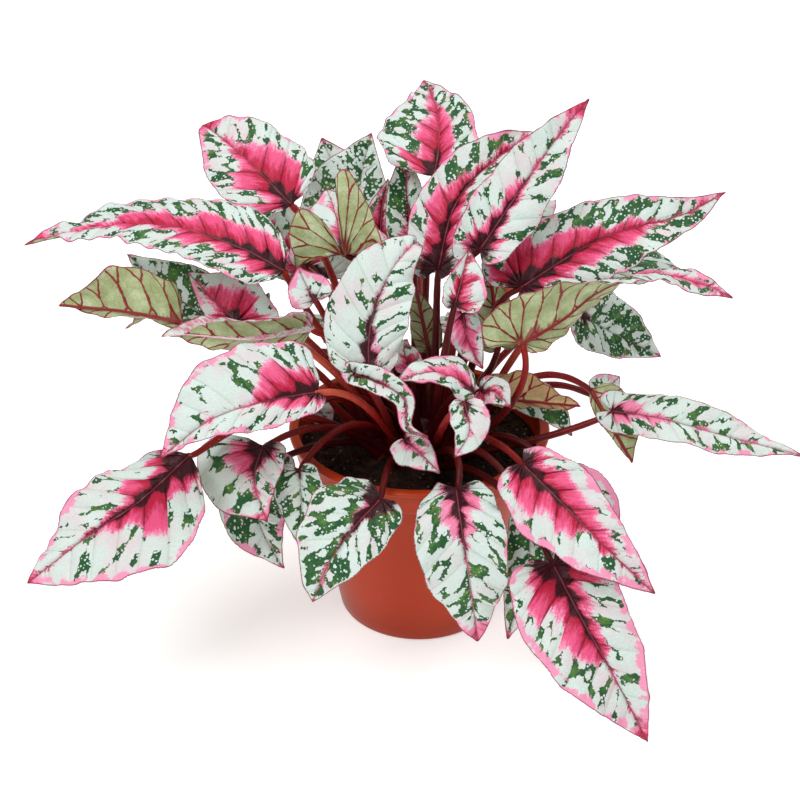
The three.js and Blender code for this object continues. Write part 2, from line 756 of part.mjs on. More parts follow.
function pot() {
  const profile = [
    [0, 0],
    [POT_BASE_RADIUS, 0],
    [wallRadius(SHOULDER), SHOULDER],
    [POT_COLLAR_RADIUS, POT_COLLAR_BOTTOM],
    [POT_COLLAR_RADIUS, POT_HEIGHT - POT_LIP_DEPTH],
    [POT_RIM_RADIUS, POT_HEIGHT - POT_LIP_DEPTH],
    [POT_RIM_RADIUS, POT_HEIGHT],
    [POT_COLLAR_RADIUS - POT_WALL, POT_HEIGHT],
    [POT_COLLAR_RADIUS - POT_WALL, POT_COLLAR_BOTTOM],
    [wallRadius(SHOULDER) - POT_WALL, SHOULDER],
    [wallRadius(POT_FLOOR) - POT_WALL, POT_FLOOR],
    [0, POT_FLOOR],
  ];
  let body = toSolid(turned(profile, POT_SIDES));
  for (let number = 0; number < DRAIN_HOLE_COUNT; number += 1) {
    const angle = 2 * Math.PI * number / DRAIN_HOLE_COUNT;
    const hole = new THREE.CylinderGeometry(
      DRAIN_HOLE_RADIUS, DRAIN_HOLE_RADIUS, 4 * POT_FLOOR, DRAIN_HOLE_SIDES);
    hole.rotateX(Math.PI / 2);
    hole.translate(DRAIN_HOLE_RING * Math.cos(angle), DRAIN_HOLE_RING * Math.sin(angle), 0);
    body = body.subtract(toSolid(hole));
  }
  return toGeometry(body);
}

function soil() {
  const inner = (z) => wallRadius(z) - POT_WALL - GAP;
  const topRadius = POT_COLLAR_RADIUS - POT_WALL - GAP;
  const profile = [
    [0, POT_FLOOR + GAP],
    [inner(POT_FLOOR), POT_FLOOR + GAP],
    [inner(SHOULDER), SHOULDER],
    [topRadius, POT_COLLAR_BOTTOM + GAP],
    [topRadius, SOIL_TOP - SOIL_LUMP],
    ...SOIL_RINGS.map((inwards) => [topRadius - inwards, SOIL_TOP]),
    [0, SOIL_TOP],
  ];
  const body = turned(profile, POT_SIDES);
  const spots = body.attributes.position;
  for (let i = 0; i < spots.count; i += 1) {
    const [x, y, z] = [spots.getX(i), spots.getY(i), spots.getZ(i)];
    if (z === SOIL_TOP) {
      const lump = Math.sin(SOIL_LUMP_TURN * (x + y)) * Math.cos(SOIL_LUMP_TURN * y);
      spots.setZ(i, z + SOIL_LUMP * lump);
    }
  }
  let mound = toSolid(body);
  for (let number = 0; number < ARM_COUNT; number += 1) {
    mound = mound.subtract(rhizomeArm(number, GAP));
  }
  return toGeometry(largestPiece(mound));
}

// ---- the plant ----

const plant = new THREE.Group();
const blades = LEAVES.map((leaf) => new Blade(leaf));
plant.add(namedMesh('pot', pot(), { color: 0xb85430, roughness: 0.45 }));
plant.add(namedMesh('soil', soil(), { color: 0x33241a, roughness: 0.95 }));
plant.add(namedMesh('rhizome_and_petioles', shoots(blades), { color: 0x8a3328, roughness: 0.5 }));
blades.forEach((blade, i) => {
  const number = String(i + 1).padStart(2, '0');
  plant.add(namedMesh(`leaf_blade_${number}`, blade.sheet(BLADE_THICKNESS), blade.tint));
});

export default plant;
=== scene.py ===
"""A rex begonia in a plastic nursery pot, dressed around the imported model.

Every shape is worked out in millimetres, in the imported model's own frame (+Z up, the middle of the
pot's underside at the origin), and put into its mesh in metres. Blades, petioles, rhizome, soil and
pot are numpy surfaces; each finish is built from shader nodes on the pieces' own attributes.
"""

import logging
import math
from dataclasses import dataclass, field, replace
from enum import Enum

import bpy
import numpy as np
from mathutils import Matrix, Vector


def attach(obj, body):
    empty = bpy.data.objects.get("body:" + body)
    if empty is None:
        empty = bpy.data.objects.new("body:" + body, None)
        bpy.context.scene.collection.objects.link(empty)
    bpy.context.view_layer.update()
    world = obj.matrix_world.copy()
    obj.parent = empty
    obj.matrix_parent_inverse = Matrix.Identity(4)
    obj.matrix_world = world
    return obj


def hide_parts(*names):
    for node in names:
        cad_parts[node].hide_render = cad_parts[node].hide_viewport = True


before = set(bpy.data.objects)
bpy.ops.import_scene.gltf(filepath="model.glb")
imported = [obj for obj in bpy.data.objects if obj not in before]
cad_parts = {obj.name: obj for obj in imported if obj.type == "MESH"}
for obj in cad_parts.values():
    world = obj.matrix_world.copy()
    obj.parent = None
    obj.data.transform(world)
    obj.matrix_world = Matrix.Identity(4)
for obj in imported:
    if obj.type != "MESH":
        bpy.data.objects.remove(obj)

log = logging.getLogger("begonia")
logging.basicConfig(level=logging.INFO, format="%(message)s")

MM = 0.001
BODY = "root"
SHARP_DEGREES = 55
LATTICE = 64
Array = np.ndarray
Point = tuple[float, float, float]
Colour = tuple[float, float, float, float]
Socket = str | int
Settings = dict[str, object]
Inputs = dict[Socket, object]


# ---- arrays and curves ----


def unit(vectors: Array) -> Array:
    """The same vectors, each divided by its own length."""
    return vectors / np.maximum(np.linalg.norm(vectors, axis=-1, keepdims=True), 1e-9)


def blend(a: Array, b: Array, share: Array) -> Array:
    """Points a share of the way from a to b, the share being one number for each point."""
    return a + (b - a) * np.asarray(share)[..., None]


def smoothstep(low: float, high: float, value: Array) -> Array:
    """3t^2 - 2t^3 of the share t of the way that value has come from low to high."""
    t = np.clip((value - low) / (high - low), 0, 1)
    return t * t * (3 - 2 * t)


def catmull_rom(stops: Array, share: Array) -> Array:
    """The uniform Catmull-Rom curve through stops, its ends carried on straight.

    Args:
        stops: The points that the curve passes through, in order.
        share: Where on the curve, 0 at the first stop and 1 at the last.

    Returns:
        One point for each share.
    """
    ends = np.vstack([2 * stops[0] - stops[1], stops, 2 * stops[-1] - stops[-2]])
    along = np.clip(np.asarray(share, float), 0, 1) * (len(stops) - 1)
    step = np.minimum(along.astype(int), len(stops) - 2)
    t = (along - step)[..., None]
    a, b, c, d = ends[step], ends[step + 1], ends[step + 2], ends[step + 3]
    cubic = (2 * a - 5 * b + 4 * c - d) * t**2 + (-a + 3 * b - 3 * c + d) * t**3
    return 0.5 * (2 * b + (c - a) * t + cubic)


def bezier(root: Array, bend: Array, end: Array, count: int) -> Array:
    """Points of the quadratic Bezier curve (1-t)^2 root + 2t(1-t) bend + t^2 end."""
    t = np.linspace(0, 1, count)[:, None]
    return root * (1 - t) ** 2 + 2 * bend * t * (1 - t) + end * t**2


def relaxed(path: Array, rounds: int) -> Array:
    """A path made rounder: each inner point moves halfway to its neighbours' mean.

    Args:
        path: The path's points.
        rounds: How many times they all move.

    Returns:
        The rounder path, with the same ends.
    """
    for _ in range(rounds):
        inner = 0.5 * path[1:-1] + 0.25 * (path[:-2] + path[2:])
        path = np.vstack([path[:1], inner, path[-1:]])
    return path


def lattice_noise(x: Array, y: Array, seed: int) -> Array:
    """Smooth noise from -1 to 1: random numbers on a square lattice, eased between its corners.

    Args:
        x: Places along the lattice, in cells.
        y: Places across it.
        seed: Which lattice of random numbers.

    Returns:
        The noise at each place.
    """
    table = np.random.default_rng(seed).uniform(-1, 1, (LATTICE, LATTICE))
    column, row = np.floor(x).astype(int), np.floor(y).astype(int)
    tx, ty = smoothstep(0, 1, x - column), smoothstep(0, 1, y - row)
    west, east = column % LATTICE, (column + 1) % LATTICE
    south, north = row % LATTICE, (row + 1) % LATTICE
    low = table[west, south] * (1 - tx) + table[east, south] * tx
    high = table[west, north] * (1 - tx) + table[east, north] * tx
    return low * (1 - ty) + high * ty


def line_noise(along: Array, row: float, seed: int) -> Array:
    """The lattice's noise along one straight line through it, row cells across."""
    return lattice_noise(along, np.full_like(along, row), seed)


def grid_triangles(rows: int, columns: int, closed: bool = False) -> Array:
    """The triangles of a grid of points numbered row by row.

    Args:
        rows: How many rows of points.
        columns: How many points in a row.
        closed: Whether each row's last point meets its first.

    Returns:
        Corner numbers, three for each triangle, facing along row step x column step.
    """
    number = np.arange(rows * columns).reshape(rows, columns)
    if closed:
        number = np.hstack([number, number[:, :1]])
    a, b = number[:-1, :-1].ravel(), number[1:, :-1].ravel()
    c, d = number[1:, 1:].ravel(), number[:-1, 1:].ravel()
    return np.vstack([np.stack([a, b, c], 1), np.stack([a, c, d], 1)])


def vertex_normals(points: Array, triangles: Array) -> Array:
    """Each point's normal: the sum of its triangles' cross products, made a unit vector.

    Args:
        points: The points.
        triangles: Their numbers at each triangle's corners.

    Returns:
        One unit vector for each point.
    """
    corners = points[triangles]
    face = np.cross(corners[:, 1] - corners[:, 0], corners[:, 2] - corners[:, 0])
    normals = np.zeros_like(points)
    np.add.at(normals, triangles.ravel(), np.repeat(face, 3, axis=0))
    return unit(normals)


@dataclass
class Shell:
    """A closed surface in millimetres, with what its finishes read at each point.

    Attributes:
        points: The points' places.
        triangles: Corner numbers, facing outwards.
        finish: The number of the material on each triangle.
        layers: Named attributes, each one vector for each point.
    """

    points: Array
    triangles: Array
    finish: Array | None = None
    layers: dict[str, Array] = field(default_factory=dict)

    def piece(self, name: str, materials: list[bpy.types.Material]) -> bpy.types.Object:
        """The shell as a Blender object at the origin, its place in its mesh.

        Args:
            name: The object's name.
            materials: Its materials, in the order that finish numbers them.

        Returns:
            The object, linked to the scene.
        """
        mesh = bpy.data.meshes.new(name)
        mesh.from_pydata((self.points * MM).tolist(), [], self.triangles.tolist())
        for material in materials:
            mesh.materials.append(material)
        if self.finish is not None:
            mesh.polygons.foreach_set("material_index", self.finish.astype(np.int32))
        for layer, values in self.layers.items():
            attribute = mesh.attributes.new(layer, "FLOAT_VECTOR", "POINT")
            attribute.data.foreach_set("vector", values.astype(np.float32).ravel())
        mesh.shade_smooth()
        mesh.set_sharp_from_angle(angle=math.radians(SHARP_DEGREES))
        piece = bpy.data.objects.new(name, mesh)
        bpy.context.scene.collection.objects.link(piece)
        return piece


def merged(shells: list[Shell]) -> Shell:
    """Several shells as one.

    Args:
        shells: The shells, each with the same attributes and a single finish.

    Returns:
        One shell, the points and triangles in the shells' order.
    """
    counts = [len(shell.points) for shell in shells]
    firsts = np.cumsum([0, *counts[:-1]])
    return Shell(
        np.vstack([shell.points for shell in shells]),
        np.vstack([shell.triangles + first for shell, first in zip(shells, firsts)]),
        layers={name: np.vstack([shell.layers[name] for shell in shells])
                for name in shells[0].layers},
    )


def capped(rings: Array, start: Array, end: Array) -> Shell:
    """Rings of points joined into a wall, closed by a fan of triangles at both ends.

    Args:
        rings: The rings' points, as (rings, sides, 3).
        start: The point in the middle of the first fan.
        end: The point in the middle of the last.

    Returns:
        The closed shell.
    """
    ring_count, sides = rings.shape[:2]
    count = ring_count * sides
    first = np.arange(sides)
    last = first + count - sides
    opening = np.stack([np.full(sides, count), np.roll(first, -1), first], 1)
    closing = np.stack([np.full(sides, count + 1), last, np.roll(last, -1)], 1)
    wall = grid_triangles(ring_count, sides, closed=True)[:, ::-1]
    return Shell(np.vstack([rings.reshape(-1, 3), start, end]), np.vstack([wall, opening, closing]))


def tube(path: Array, radius: Array, side: Array, sides: int) -> Shell:
    """A round bar: at each stop of the path, a circle across it, closed by a point at both ends.

    Args:
        path: The stops of the middle line.
        radius: The bar's radius at each stop and round it, as (stops, 1) or (stops, sides).
        side: A direction that no part of the path runs along.
        sides: How many points in a circle.

    Returns:
        The closed bar.
    """
    ahead = unit(np.gradient(path, axis=0))
    across = unit(np.cross(side, ahead))
    third = np.cross(ahead, across)
    angle = np.linspace(0, 2 * np.pi, sides, endpoint=False)
    ring = np.cos(angle)[:, None] * across[:, None] + np.sin(angle)[:, None] * third[:, None]
    return capped(path[:, None] + ring * radius[..., None], path[0], path[-1])


def turned(profile: list[tuple[float, float]], sides: int) -> Shell:
    """A profile turned about Z: each (radius, height) becomes a ring of that radius and height.

    Args:
        profile: The profile, from the axis round to the axis.
        sides: How many points in a ring.

    Returns:
        The closed shell, its first and last points on the axis.
    """
    outline = np.array(profile, float)
    angle = np.linspace(0, 2 * np.pi, sides, endpoint=False)
    rings = np.empty((len(outline) - 2, sides, 3))
    rings[..., :2] = outline[1:-1, None, :1] * np.stack([np.cos(angle), np.sin(angle)], 1)
    rings[..., 2] = outline[1:-1, None, 1]
    return capped(rings, np.array([0, 0, outline[0, 1]]), np.array([0, 0, outline[-1, 1]]))


# ---- shader maths ----


def paint(red: int, green: int, blue: int) -> Colour:
    """A display colour of 0 to 255 a channel as the linear colour that a shader mixes.

    Each channel follows the display's curve: a straight line up to 10, and a power above it.

    Args:
        red: The red channel.
        green: The green channel.
        blue: The blue channel.

    Returns:
        The linear colour, opaque.
    """
    shares = [
        ((channel / 255 + 0.055) / 1.055) ** 2.4 if channel > 10 else channel / 3295
        for channel in (red, green, blue)
    ]
    return (*shares, 1.0)


class Finish:
    """A material's nodes, and the ways in which its expressions make them."""

    def __init__(self, name: str) -> None:
        """Starts an empty material with a principled surface.

        Args:
            name: The material's name.
        """
        self.material = bpy.data.materials.new(name)
        self.material.use_nodes = True
        self.tree = self.material.node_tree
        self.surface = self.tree.nodes["Principled BSDF"]

    def node(self, kind: str, settings: Settings, inputs: Inputs) -> bpy.types.Node:
        """Any node.

        Args:
            kind: Its type, without the ShaderNode in front.
            settings: Its own properties, set before its sockets.
            inputs: A value or a Value for each socket, by the socket's name or number.

        Returns:
            The node.
        """
        made = self.tree.nodes.new("ShaderNode" + kind)
        for name, setting in settings.items():
            setattr(made, name, setting)
        for name, given in inputs.items():
            self.feed(made.inputs[name], given)
        return made

    def feed(self, socket: bpy.types.NodeSocket, given: object) -> None:
        """Links a Value to a socket, or sets the socket to a plain number or colour.

        Args:
            socket: The socket.
            given: The Value, number or colour.
        """
        if isinstance(given, Value):
            self.tree.links.new(given.socket, socket)
        else:
            socket.default_value = given

    def value(self, kind: str, settings: Settings, inputs: Inputs, output: Socket = 0) -> "Value":
        """Any node, as the Value of one of its outputs."""
        return Value(self, self.node(kind, settings, inputs).outputs[output])

    def layer(self, name: str) -> "Value":
        """The vector attribute of that name on the piece."""
        return self.value("Attribute", {"attribute_name": name}, {}, "Vector")

    def place(self) -> "Value":
        """The surface point in the piece's own coordinates, in metres."""
        return self.value("TexCoord", {}, {}, "Object")

    def parts(self, vector: "Value") -> tuple["Value", "Value", "Value"]:
        """The three numbers of a vector."""
        split = self.node("SeparateXYZ", {}, {0: vector})
        return tuple(Value(self, socket) for socket in split.outputs)

    def stretched(self, vector: "Value", scale: Point) -> "Value":
        """The vector with each of its numbers multiplied by its own scale."""
        return self.value("VectorMath", {"operation": "MULTIPLY"}, {0: vector, 1: scale})

    def noise(self, vector: "Value", scale: float, detail: float = 2.0) -> "Value":
        """Cloudy noise about a middle of 0, mostly within -0.5 and 0.5."""
        cloud = self.value("TexNoise", {}, {"Vector": vector, "Scale": scale, "Detail": detail})
        return (cloud - 0.5) * 2

    def cells(self, vector: "Value", scale: float, feature: str = "F1") -> "Value":
        """The distance to the nearest of scattered points, or to the edges between them."""
        settings = {"feature": feature}
        return self.value("TexVoronoi", settings, {"Vector": vector, "Scale": scale}, "Distance")

    def mix(self, share: "Value", under: object, over: object) -> "Value":
        """The colour under where share is 0 and the colour over where it is 1."""
        sockets = {"Factor": share, 6: under, 7: over}
        return self.value("Mix", {"data_type": "RGBA"}, sockets, 2)

    def bumped(self, height: "Value", depth: float) -> "Value":
        """A normal tilted by a height of 0 to 1 that stands for depth millimetres."""
        sockets = {"Height": height, "Distance": depth * MM, "Strength": 1.0}
        return self.value("Bump", {}, sockets)

    def dress(self, **sockets: object) -> bpy.types.Material:
        """Feeds the principled surface.

        Args:
            sockets: What each socket is given, with _ for a space in the socket's name.

        Returns:
            The finished material.
        """
        for name, given in sockets.items():
            self.feed(self.surface.inputs[name.replace("_", " ")], given)
        return self.material


class Value:
    """A number, or a vector or colour, that an expression works on: one output of a node."""

    def __init__(self, finish: Finish, socket: bpy.types.NodeSocket) -> None:
        """Wraps a node's output."""
        self.finish = finish
        self.socket = socket

    def maths(self, operation: str, *others: object) -> "Value":
        """A Math node on this value and the others."""
        inputs = dict(enumerate((self, *others)))
        return self.finish.value("Math", {"operation": operation}, inputs)

    def __add__(self, other: object) -> "Value":
        """This value and the other added."""
        return self.maths("ADD", other)

    def __sub__(self, other: object) -> "Value":
        """The other taken from this value."""
        return self.maths("SUBTRACT", other)

    def __mul__(self, other: object) -> "Value":
        """This value times the other."""
        return self.maths("MULTIPLY", other)

    def __rsub__(self, other: float) -> "Value":
        """This value taken from a number."""
        return self.finish.value("Math", {"operation": "SUBTRACT"}, {0: other, 1: self})

    __radd__ = __add__
    __rmul__ = __mul__

    def least(self, other: object) -> "Value":
        """The smaller of this value and the other."""
        return self.maths("MINIMUM", other)

    def most(self, other: object) -> "Value":
        """The larger of this value and the other."""
        return self.maths("MAXIMUM", other)

    def rise(self, low: float, high: float) -> "Value":
        """0 up to low, 1 from high, and an eased rise between them."""
        return self._eased({"From Min": low, "From Max": high})

    def fall(self, low: float, high: float) -> "Value":
        """1 up to low, 0 from high, and an eased fall between them."""
        return self._eased({"From Min": low, "From Max": high, "To Min": 1.0, "To Max": 0.0})

    def _eased(self, limits: Inputs) -> "Value":
        """This value carried from one range to another, eased at both ends."""
        settings = {"interpolation_type": "SMOOTHSTEP"}
        return self.finish.value("MapRange", settings, {"Value": self} | limits)


# ---- finishes ----


def vein_distance(rank: Value) -> Value:
    """How far a point is from the nearest side vein, in shares of the veins' spacing."""
    return rank.maths("PINGPONG", 0.5)


@dataclass(frozen=True)
class UpperSkin:
    """The upper face of a blade: silver cells over green, a pink heart and a near-black base.

    The colours follow five attributes of the blade, all in millimetres unless they are shares:
    leaf_flat (along the midrib, out from it, a number of the leaf's own), leaf_vein (along the
    margin, out along the vein, number of the vein), leaf_reach (depth inside the pink heart, depth
    inside the dark base, distance from the margin), leaf_share (of green, of pink margin, of
    crimson in the pink) and leaf_more (share of white dots, of an unfolding leaf's tan, and of a
    rolled margin). Scales are in cells a millimetre, and depths in millimetres.
    """

    silver: Colour = paint(190, 205, 198)
    frost: Colour = paint(212, 222, 217)
    green: Colour = paint(30, 78, 42)
    leaf_green: Colour = paint(86, 128, 56)
    fringe: Colour = paint(226, 142, 174)
    pink: Colour = paint(218, 76, 122)
    crimson: Colour = paint(172, 18, 54)
    wine: Colour = paint(104, 12, 36)
    maroon: Colour = paint(44, 4, 14)
    rib: Colour = paint(138, 66, 76)
    edge: Colour = paint(122, 34, 52)
    cloud_scale: float = 0.085
    drift_scale: float = 0.17
    streak_scale: float = 0.75
    grain_scale: float = 1.9
    cell_scale: float = 0.26
    dot_scale: float = 0.62
    pebble_scale: float = 0.85
    sway_scale: float = 0.8
    sway_reach: float = 1.7
    pebble_depth: float = 0.3
    gloss: float = 0.22

    def material(self) -> bpy.types.Material:
        """Builds the material.

        Returns:
            The material.
        """
        f = Finish("begonia_upper_skin")
        flat, vein = f.layer("leaf_flat"), f.layer("leaf_vein")
        heart, base, edge = f.parts(f.layer("leaf_reach"))
        green_share, margin_share, tone = f.parts(f.layer("leaf_share"))
        dot_share, _, _ = f.parts(f.layer("leaf_more"))
        _, out, rank = f.parts(vein)
        cloud = f.noise(flat, self.cloud_scale, 2)
        drift = f.noise(flat, self.drift_scale, 3)
        streaks = f.noise(f.stretched(vein, (1.0, 0.26, 0.0)), self.streak_scale, 4)
        grain = f.noise(flat, self.grain_scale, 3)
        from_vein = vein_distance(rank)

        # The pink heart, with flames along the veins at its border, and the pink of the margin.
        flames = streaks * 3.4 + grain * 2.8 + cloud * 4.8 - from_vein * 3.0 + 0.75
        in_heart = (heart + flames).rise(-0.6, 0.6)
        patch = ((drift + (margin_share - 0.5)) * 10.0).least(margin_share * 5.0)
        at_margin = (patch - edge + streaks * 2.0 + grain * 1.8).rise(-0.4, 0.5)
        rosy = in_heart.most(at_margin)

        # The green gaps between the silver cells, and the white dots in them.
        swayed = {0: f.stretched(vein, (1.0, 0.5, 0.0)), 1: self._sway(f, flat)}
        gap = f.cells(f.value("VectorMath", {"operation": "ADD"}, swayed), self.cell_scale)
        green_here = green_share * (0.78 + drift * 1.1) * edge.rise(0.0, 1.6)
        bare = (gap + green_here * 0.5).rise(0.86, 0.9)
        dot_gap = f.cells(flat, self.dot_scale)
        dots = (dot_gap + drift * 0.3 + (0.5 - dot_share) * 0.4).fall(0.29, 0.34)
        leafy = bare * (1 - dots)

        # The colours, from the silver up to the red edge.
        under = f.mix((grain * 0.8 + 0.35).rise(0.0, 1.0), self.silver, self.frost)
        under = f.mix((cloud * 1.3 + margin_share * 0.5).rise(-0.1, 1.0) * 0.34, under, self.fringe)
        under = f.mix(from_vein.fall(0.01, 0.05) * 0.18, under, self.leaf_green)
        lush = f.mix((drift + streaks * 0.5).rise(-0.1, 0.7), self.green, self.leaf_green)
        colour = f.mix(leafy, under, lush)
        depth = (heart + flames).rise(0.0, 3.0)
        blush = f.mix(depth * (tone * 1.2 + 0.3).least(1.0), self.fringe, self.pink)
        ripe = heart * 0.06 + base * 0.05 + tone * 0.6 + streaks * 0.9 + grain * 0.3
        deep = (ripe - from_vein * 0.9 + 0.4).rise(0.15, 1.15)
        blush = f.mix(deep, blush, self.crimson)
        blush = f.mix(from_vein.fall(0.01, 0.07) * depth * 0.65, blush, self.maroon)
        colour = f.mix(rosy, colour, blush)
        shade = base + streaks * 1.5 + grain * 1.2
        colour = f.mix(shade.rise(-2.0, 0.6) * 0.55, colour, self.wine)
        colour = f.mix(shade.rise(-0.3, 0.8) * 0.95, colour, self.maroon)
        midrib = out.fall(0.25, 0.55) * heart.rise(-3.0, 2.0) * 0.75
        colour = f.mix(midrib, colour, self.rib)
        colour = f.mix((edge + grain * 0.15).fall(0.22, 0.5) * 0.85, colour, self.edge)

        pebbles = f.cells(flat, self.pebble_scale, "SMOOTH_F1").rise(0.0, 0.9)
        relief = (1 - pebbles) * 0.5 + grain * 0.25 + from_vein.rise(0.0, 0.09) * 0.35
        return f.dress(Base_Color=colour, Roughness=0.48 - rosy * 0.05 + leafy * 0.06,
                       Normal=f.bumped(relief, self.pebble_depth), Specular_IOR_Level=self.gloss)

    def _sway(self, f: Finish, flat: Value) -> Value:
        """A small shift of each point, which makes the cells' outlines wander.

        Args:
            f: The material's nodes.
            flat: The point on the blade.

        Returns:
            The shift.
        """
        sockets = {"Vector": flat, "Scale": self.sway_scale, "Detail": 2.0}
        swirl = f.value("TexNoise", {}, sockets, "Color")
        return f.stretched(swirl, (self.sway_reach, self.sway_reach, 0.0))


@dataclass(frozen=True)
class UnderSkin:
    """The underside of a blade: pale olive with raised dark-red veins and a fine net between."""

    olive: Colour = paint(146, 156, 104)
    pale: Colour = paint(190, 202, 160)
    tan: Colour = paint(200, 164, 116)
    red: Colour = paint(128, 18, 24)
    brown: Colour = paint(92, 52, 38)
    frost: Colour = paint(216, 222, 216)
    pink: Colour = paint(222, 120, 156)
    cloud_scale: float = 0.12
    drift_scale: float = 0.3
    grain_scale: float = 1.7
    streak_scale: float = 0.7
    net_scale: float = 0.34
    vein_depth: float = 0.3
    gloss: float = 0.4

    def material(self) -> bpy.types.Material:
        """Builds the material.

        Returns:
            The material.
        """
        f = Finish("begonia_under_skin")
        flat, vein = f.layer("leaf_flat"), f.layer("leaf_vein")
        heart, base, edge = f.parts(f.layer("leaf_reach"))
        _, young, rolled = f.parts(f.layer("leaf_more"))
        _, out, rank = f.parts(vein)
        cloud = f.noise(flat, self.cloud_scale, 3)
        drift = f.noise(flat, self.drift_scale, 2)
        grain = f.noise(flat, self.grain_scale, 3)
        streaks = f.noise(f.stretched(vein, (1.0, 0.3, 0.0)), self.streak_scale, 3)
        from_vein = vein_distance(rank)
        net = f.cells(flat, self.net_scale, "DISTANCE_TO_EDGE")

        # The ground, with the red that spreads from the petiole.
        colour = f.mix((cloud + grain * 0.3).rise(-0.4, 0.7), self.olive, self.pale)
        colour = f.mix(young * (0.85 - cloud * 0.5), colour, self.tan)
        colour = f.mix(net.fall(0.0, 0.07) * 0.22, colour, self.brown)
        flush = (base * 0.4 + streaks * 1.8 + heart * 0.05 - from_vein * 1.1 + 0.4).rise(0.1, 1.5)
        colour = f.mix(flush * 0.85, colour, self.red)

        # The veins, which fork on their way to the margin, and the midrib.
        spread = (0.34 - edge * 0.045).most(0.0)
        fork = (from_vein + drift * 0.09 - spread).maths("ABSOLUTE")
        line = (fork + edge.fall(0.0, 5.0) * 0.02).fall(0.03, 0.075).most(out.fall(0.5, 1.1))
        colour = f.mix(line, colour, self.red)

        # A rolled margin shows the upper side's colours, and every margin has a red edge.
        over = f.mix((streaks + cloud * 0.5).rise(-0.2, 0.3), self.frost, self.pink)
        roll = (rolled * 5.5 - edge + streaks * 2.5 + cloud * 2.0).rise(0.0, 0.4)
        colour = f.mix(roll, colour, over)
        colour = f.mix((edge + grain * 0.2).fall(0.3, 0.7) * 0.85, colour, self.red)
        height = line * 0.6 + net.fall(0.0, 0.1) * 0.2 + grain * 0.15
        return f.dress(Base_Color=colour, Roughness=0.55 - line * 0.1,
                       Normal=f.bumped(height, self.vein_depth), Specular_IOR_Level=self.gloss)


@dataclass(frozen=True)
class StalkSkin:
    """Juicy red-brown petioles and rhizome, with pale pores and darker streaks along them.

    Their tone is the first number of the attribute stalk, on the petioles mostly painted light
    and shade. Scales are in cells a metre.
    """

    name: str
    red: Colour = paint(142, 22, 20)
    orange: Colour = paint(196, 84, 62)
    # dark is the near-black painted shade of petioles deep in the clump, and orange the colour of
    # lit petioles.
    dark: Colour = paint(56, 4, 6)
    pore: Colour = paint(220, 158, 138)
    cloud_scale: float = 38.0
    streak_scale: float = 520.0
    pore_scale: float = 720.0
    pore_depth: float = 0.12
    gloss: float = 0.2

    def material(self) -> bpy.types.Material:
        """Builds the material.

        Returns:
            The material.
        """
        f = Finish(self.name)
        place = f.place()
        tone, _, _ = f.parts(f.layer("stalk"))
        cloud = f.noise(place, self.cloud_scale, 3)
        streak = f.noise(f.stretched(place, (1.0, 1.0, 0.2)), self.streak_scale, 2)
        pores = f.cells(f.stretched(place, (1.0, 1.0, 0.55)), self.pore_scale)
        # On the petioles the tone is mostly painted light and shade: low tones darken to the
        # near-black painted shade deep in the clump, high ones turn to the paler orange of lit
        # stalks, and pores show on lit stalks only.
        shade = tone + cloud * 0.22 + streak * 0.12
        colour = f.mix(shade.rise(0.4, 1.1), self.red, self.orange)
        colour = f.mix(shade.fall(0.0, 0.6) * 0.9, colour, self.dark)
        spots = pores.fall(0.1, 0.18)
        colour = f.mix(spots * 0.45 * tone.rise(0.0, 0.8), colour, self.pore)
        relief = f.bumped(streak * 0.4 + spots * 0.5, self.pore_depth)
        return f.dress(Base_Color=colour, Roughness=0.42 + spots * 0.2, Normal=relief,
                       Specular_IOR_Level=self.gloss)


@dataclass(frozen=True)
class PottingMix:
    """Dark damp peat with brown fibres and a few pale grains. Scales are in cells a metre."""

    peat: Colour = paint(22, 10, 7)
    fibre: Colour = paint(66, 34, 20)
    grit: Colour = paint(150, 128, 104)
    clod_scale: float = 210.0
    crumb_scale: float = 520.0
    grit_scale: float = 240.0
    crumb_depth: float = 1.1
    gloss: float = 0.2

    def material(self) -> bpy.types.Material:
        """Builds the material.

        Returns:
            The material.
        """
        f = Finish("begonia_potting_mix")
        place = f.place()
        clod = f.noise(place, self.clod_scale, 5)
        crumb = f.cells(place, self.crumb_scale)
        grains = f.cells(place, self.grit_scale).fall(0.1, 0.16)
        colour = f.mix((clod + 0.1).rise(-0.2, 0.9), self.peat, self.fibre)
        colour = f.mix(grains * 0.5, colour, self.grit)
        relief = f.bumped(clod * 0.5 + crumb * 0.6, self.crumb_depth)
        return f.dress(Base_Color=colour, Roughness=0.95, Normal=relief,
                       Specular_IOR_Level=self.gloss)


@dataclass(frozen=True)
class PotPlastic:
    """Terracotta-coloured moulded plastic: a soft sheen, faint turning lines and painted shade at
    the foot.

    Scales are in cells a metre; the foot's painted shade thins out up to foot_shade_height, in
    metres.
    """

    clay: Colour = paint(168, 48, 12)
    worn: Colour = paint(180, 68, 34)
    # foot is the darker colour of the painted shade at the pot's foot.
    foot: Colour = paint(126, 34, 12)
    cloud_scale: float = 22.0
    grain_scale: float = 900.0
    ring_scale: float = 8.0
    foot_shade_height: float = 0.025
    grain_depth: float = 0.05
    gloss: float = 0.2

    def material(self) -> bpy.types.Material:
        """Builds the material.

        Returns:
            The material.
        """
        f = Finish("begonia_pot_plastic")
        place = f.place()
        _, _, height = f.parts(place)
        cloud = f.noise(place, self.cloud_scale, 3)
        grain = f.noise(place, self.grain_scale, 2)
        rings = f.noise(f.stretched(place, (1.5, 1.5, 60.0)), self.ring_scale, 2)
        colour = f.mix((cloud + 0.2).rise(-0.4, 1.2) * 0.45, self.clay, self.worn)
        # Painted shade: the pot darkens towards its foot.
        foot_shade = (height * (1 / self.foot_shade_height) + cloud * 0.4).fall(0.0, 1.0)
        colour = f.mix(foot_shade * 0.5, colour, self.foot)
        relief = f.bumped(grain * 0.3 + rings * 0.4, self.grain_depth)
        return f.dress(Base_Color=colour, Roughness=0.36 + cloud * 0.08, Normal=relief,
                       Specular_IOR_Level=self.gloss)


# ---- leaves ----


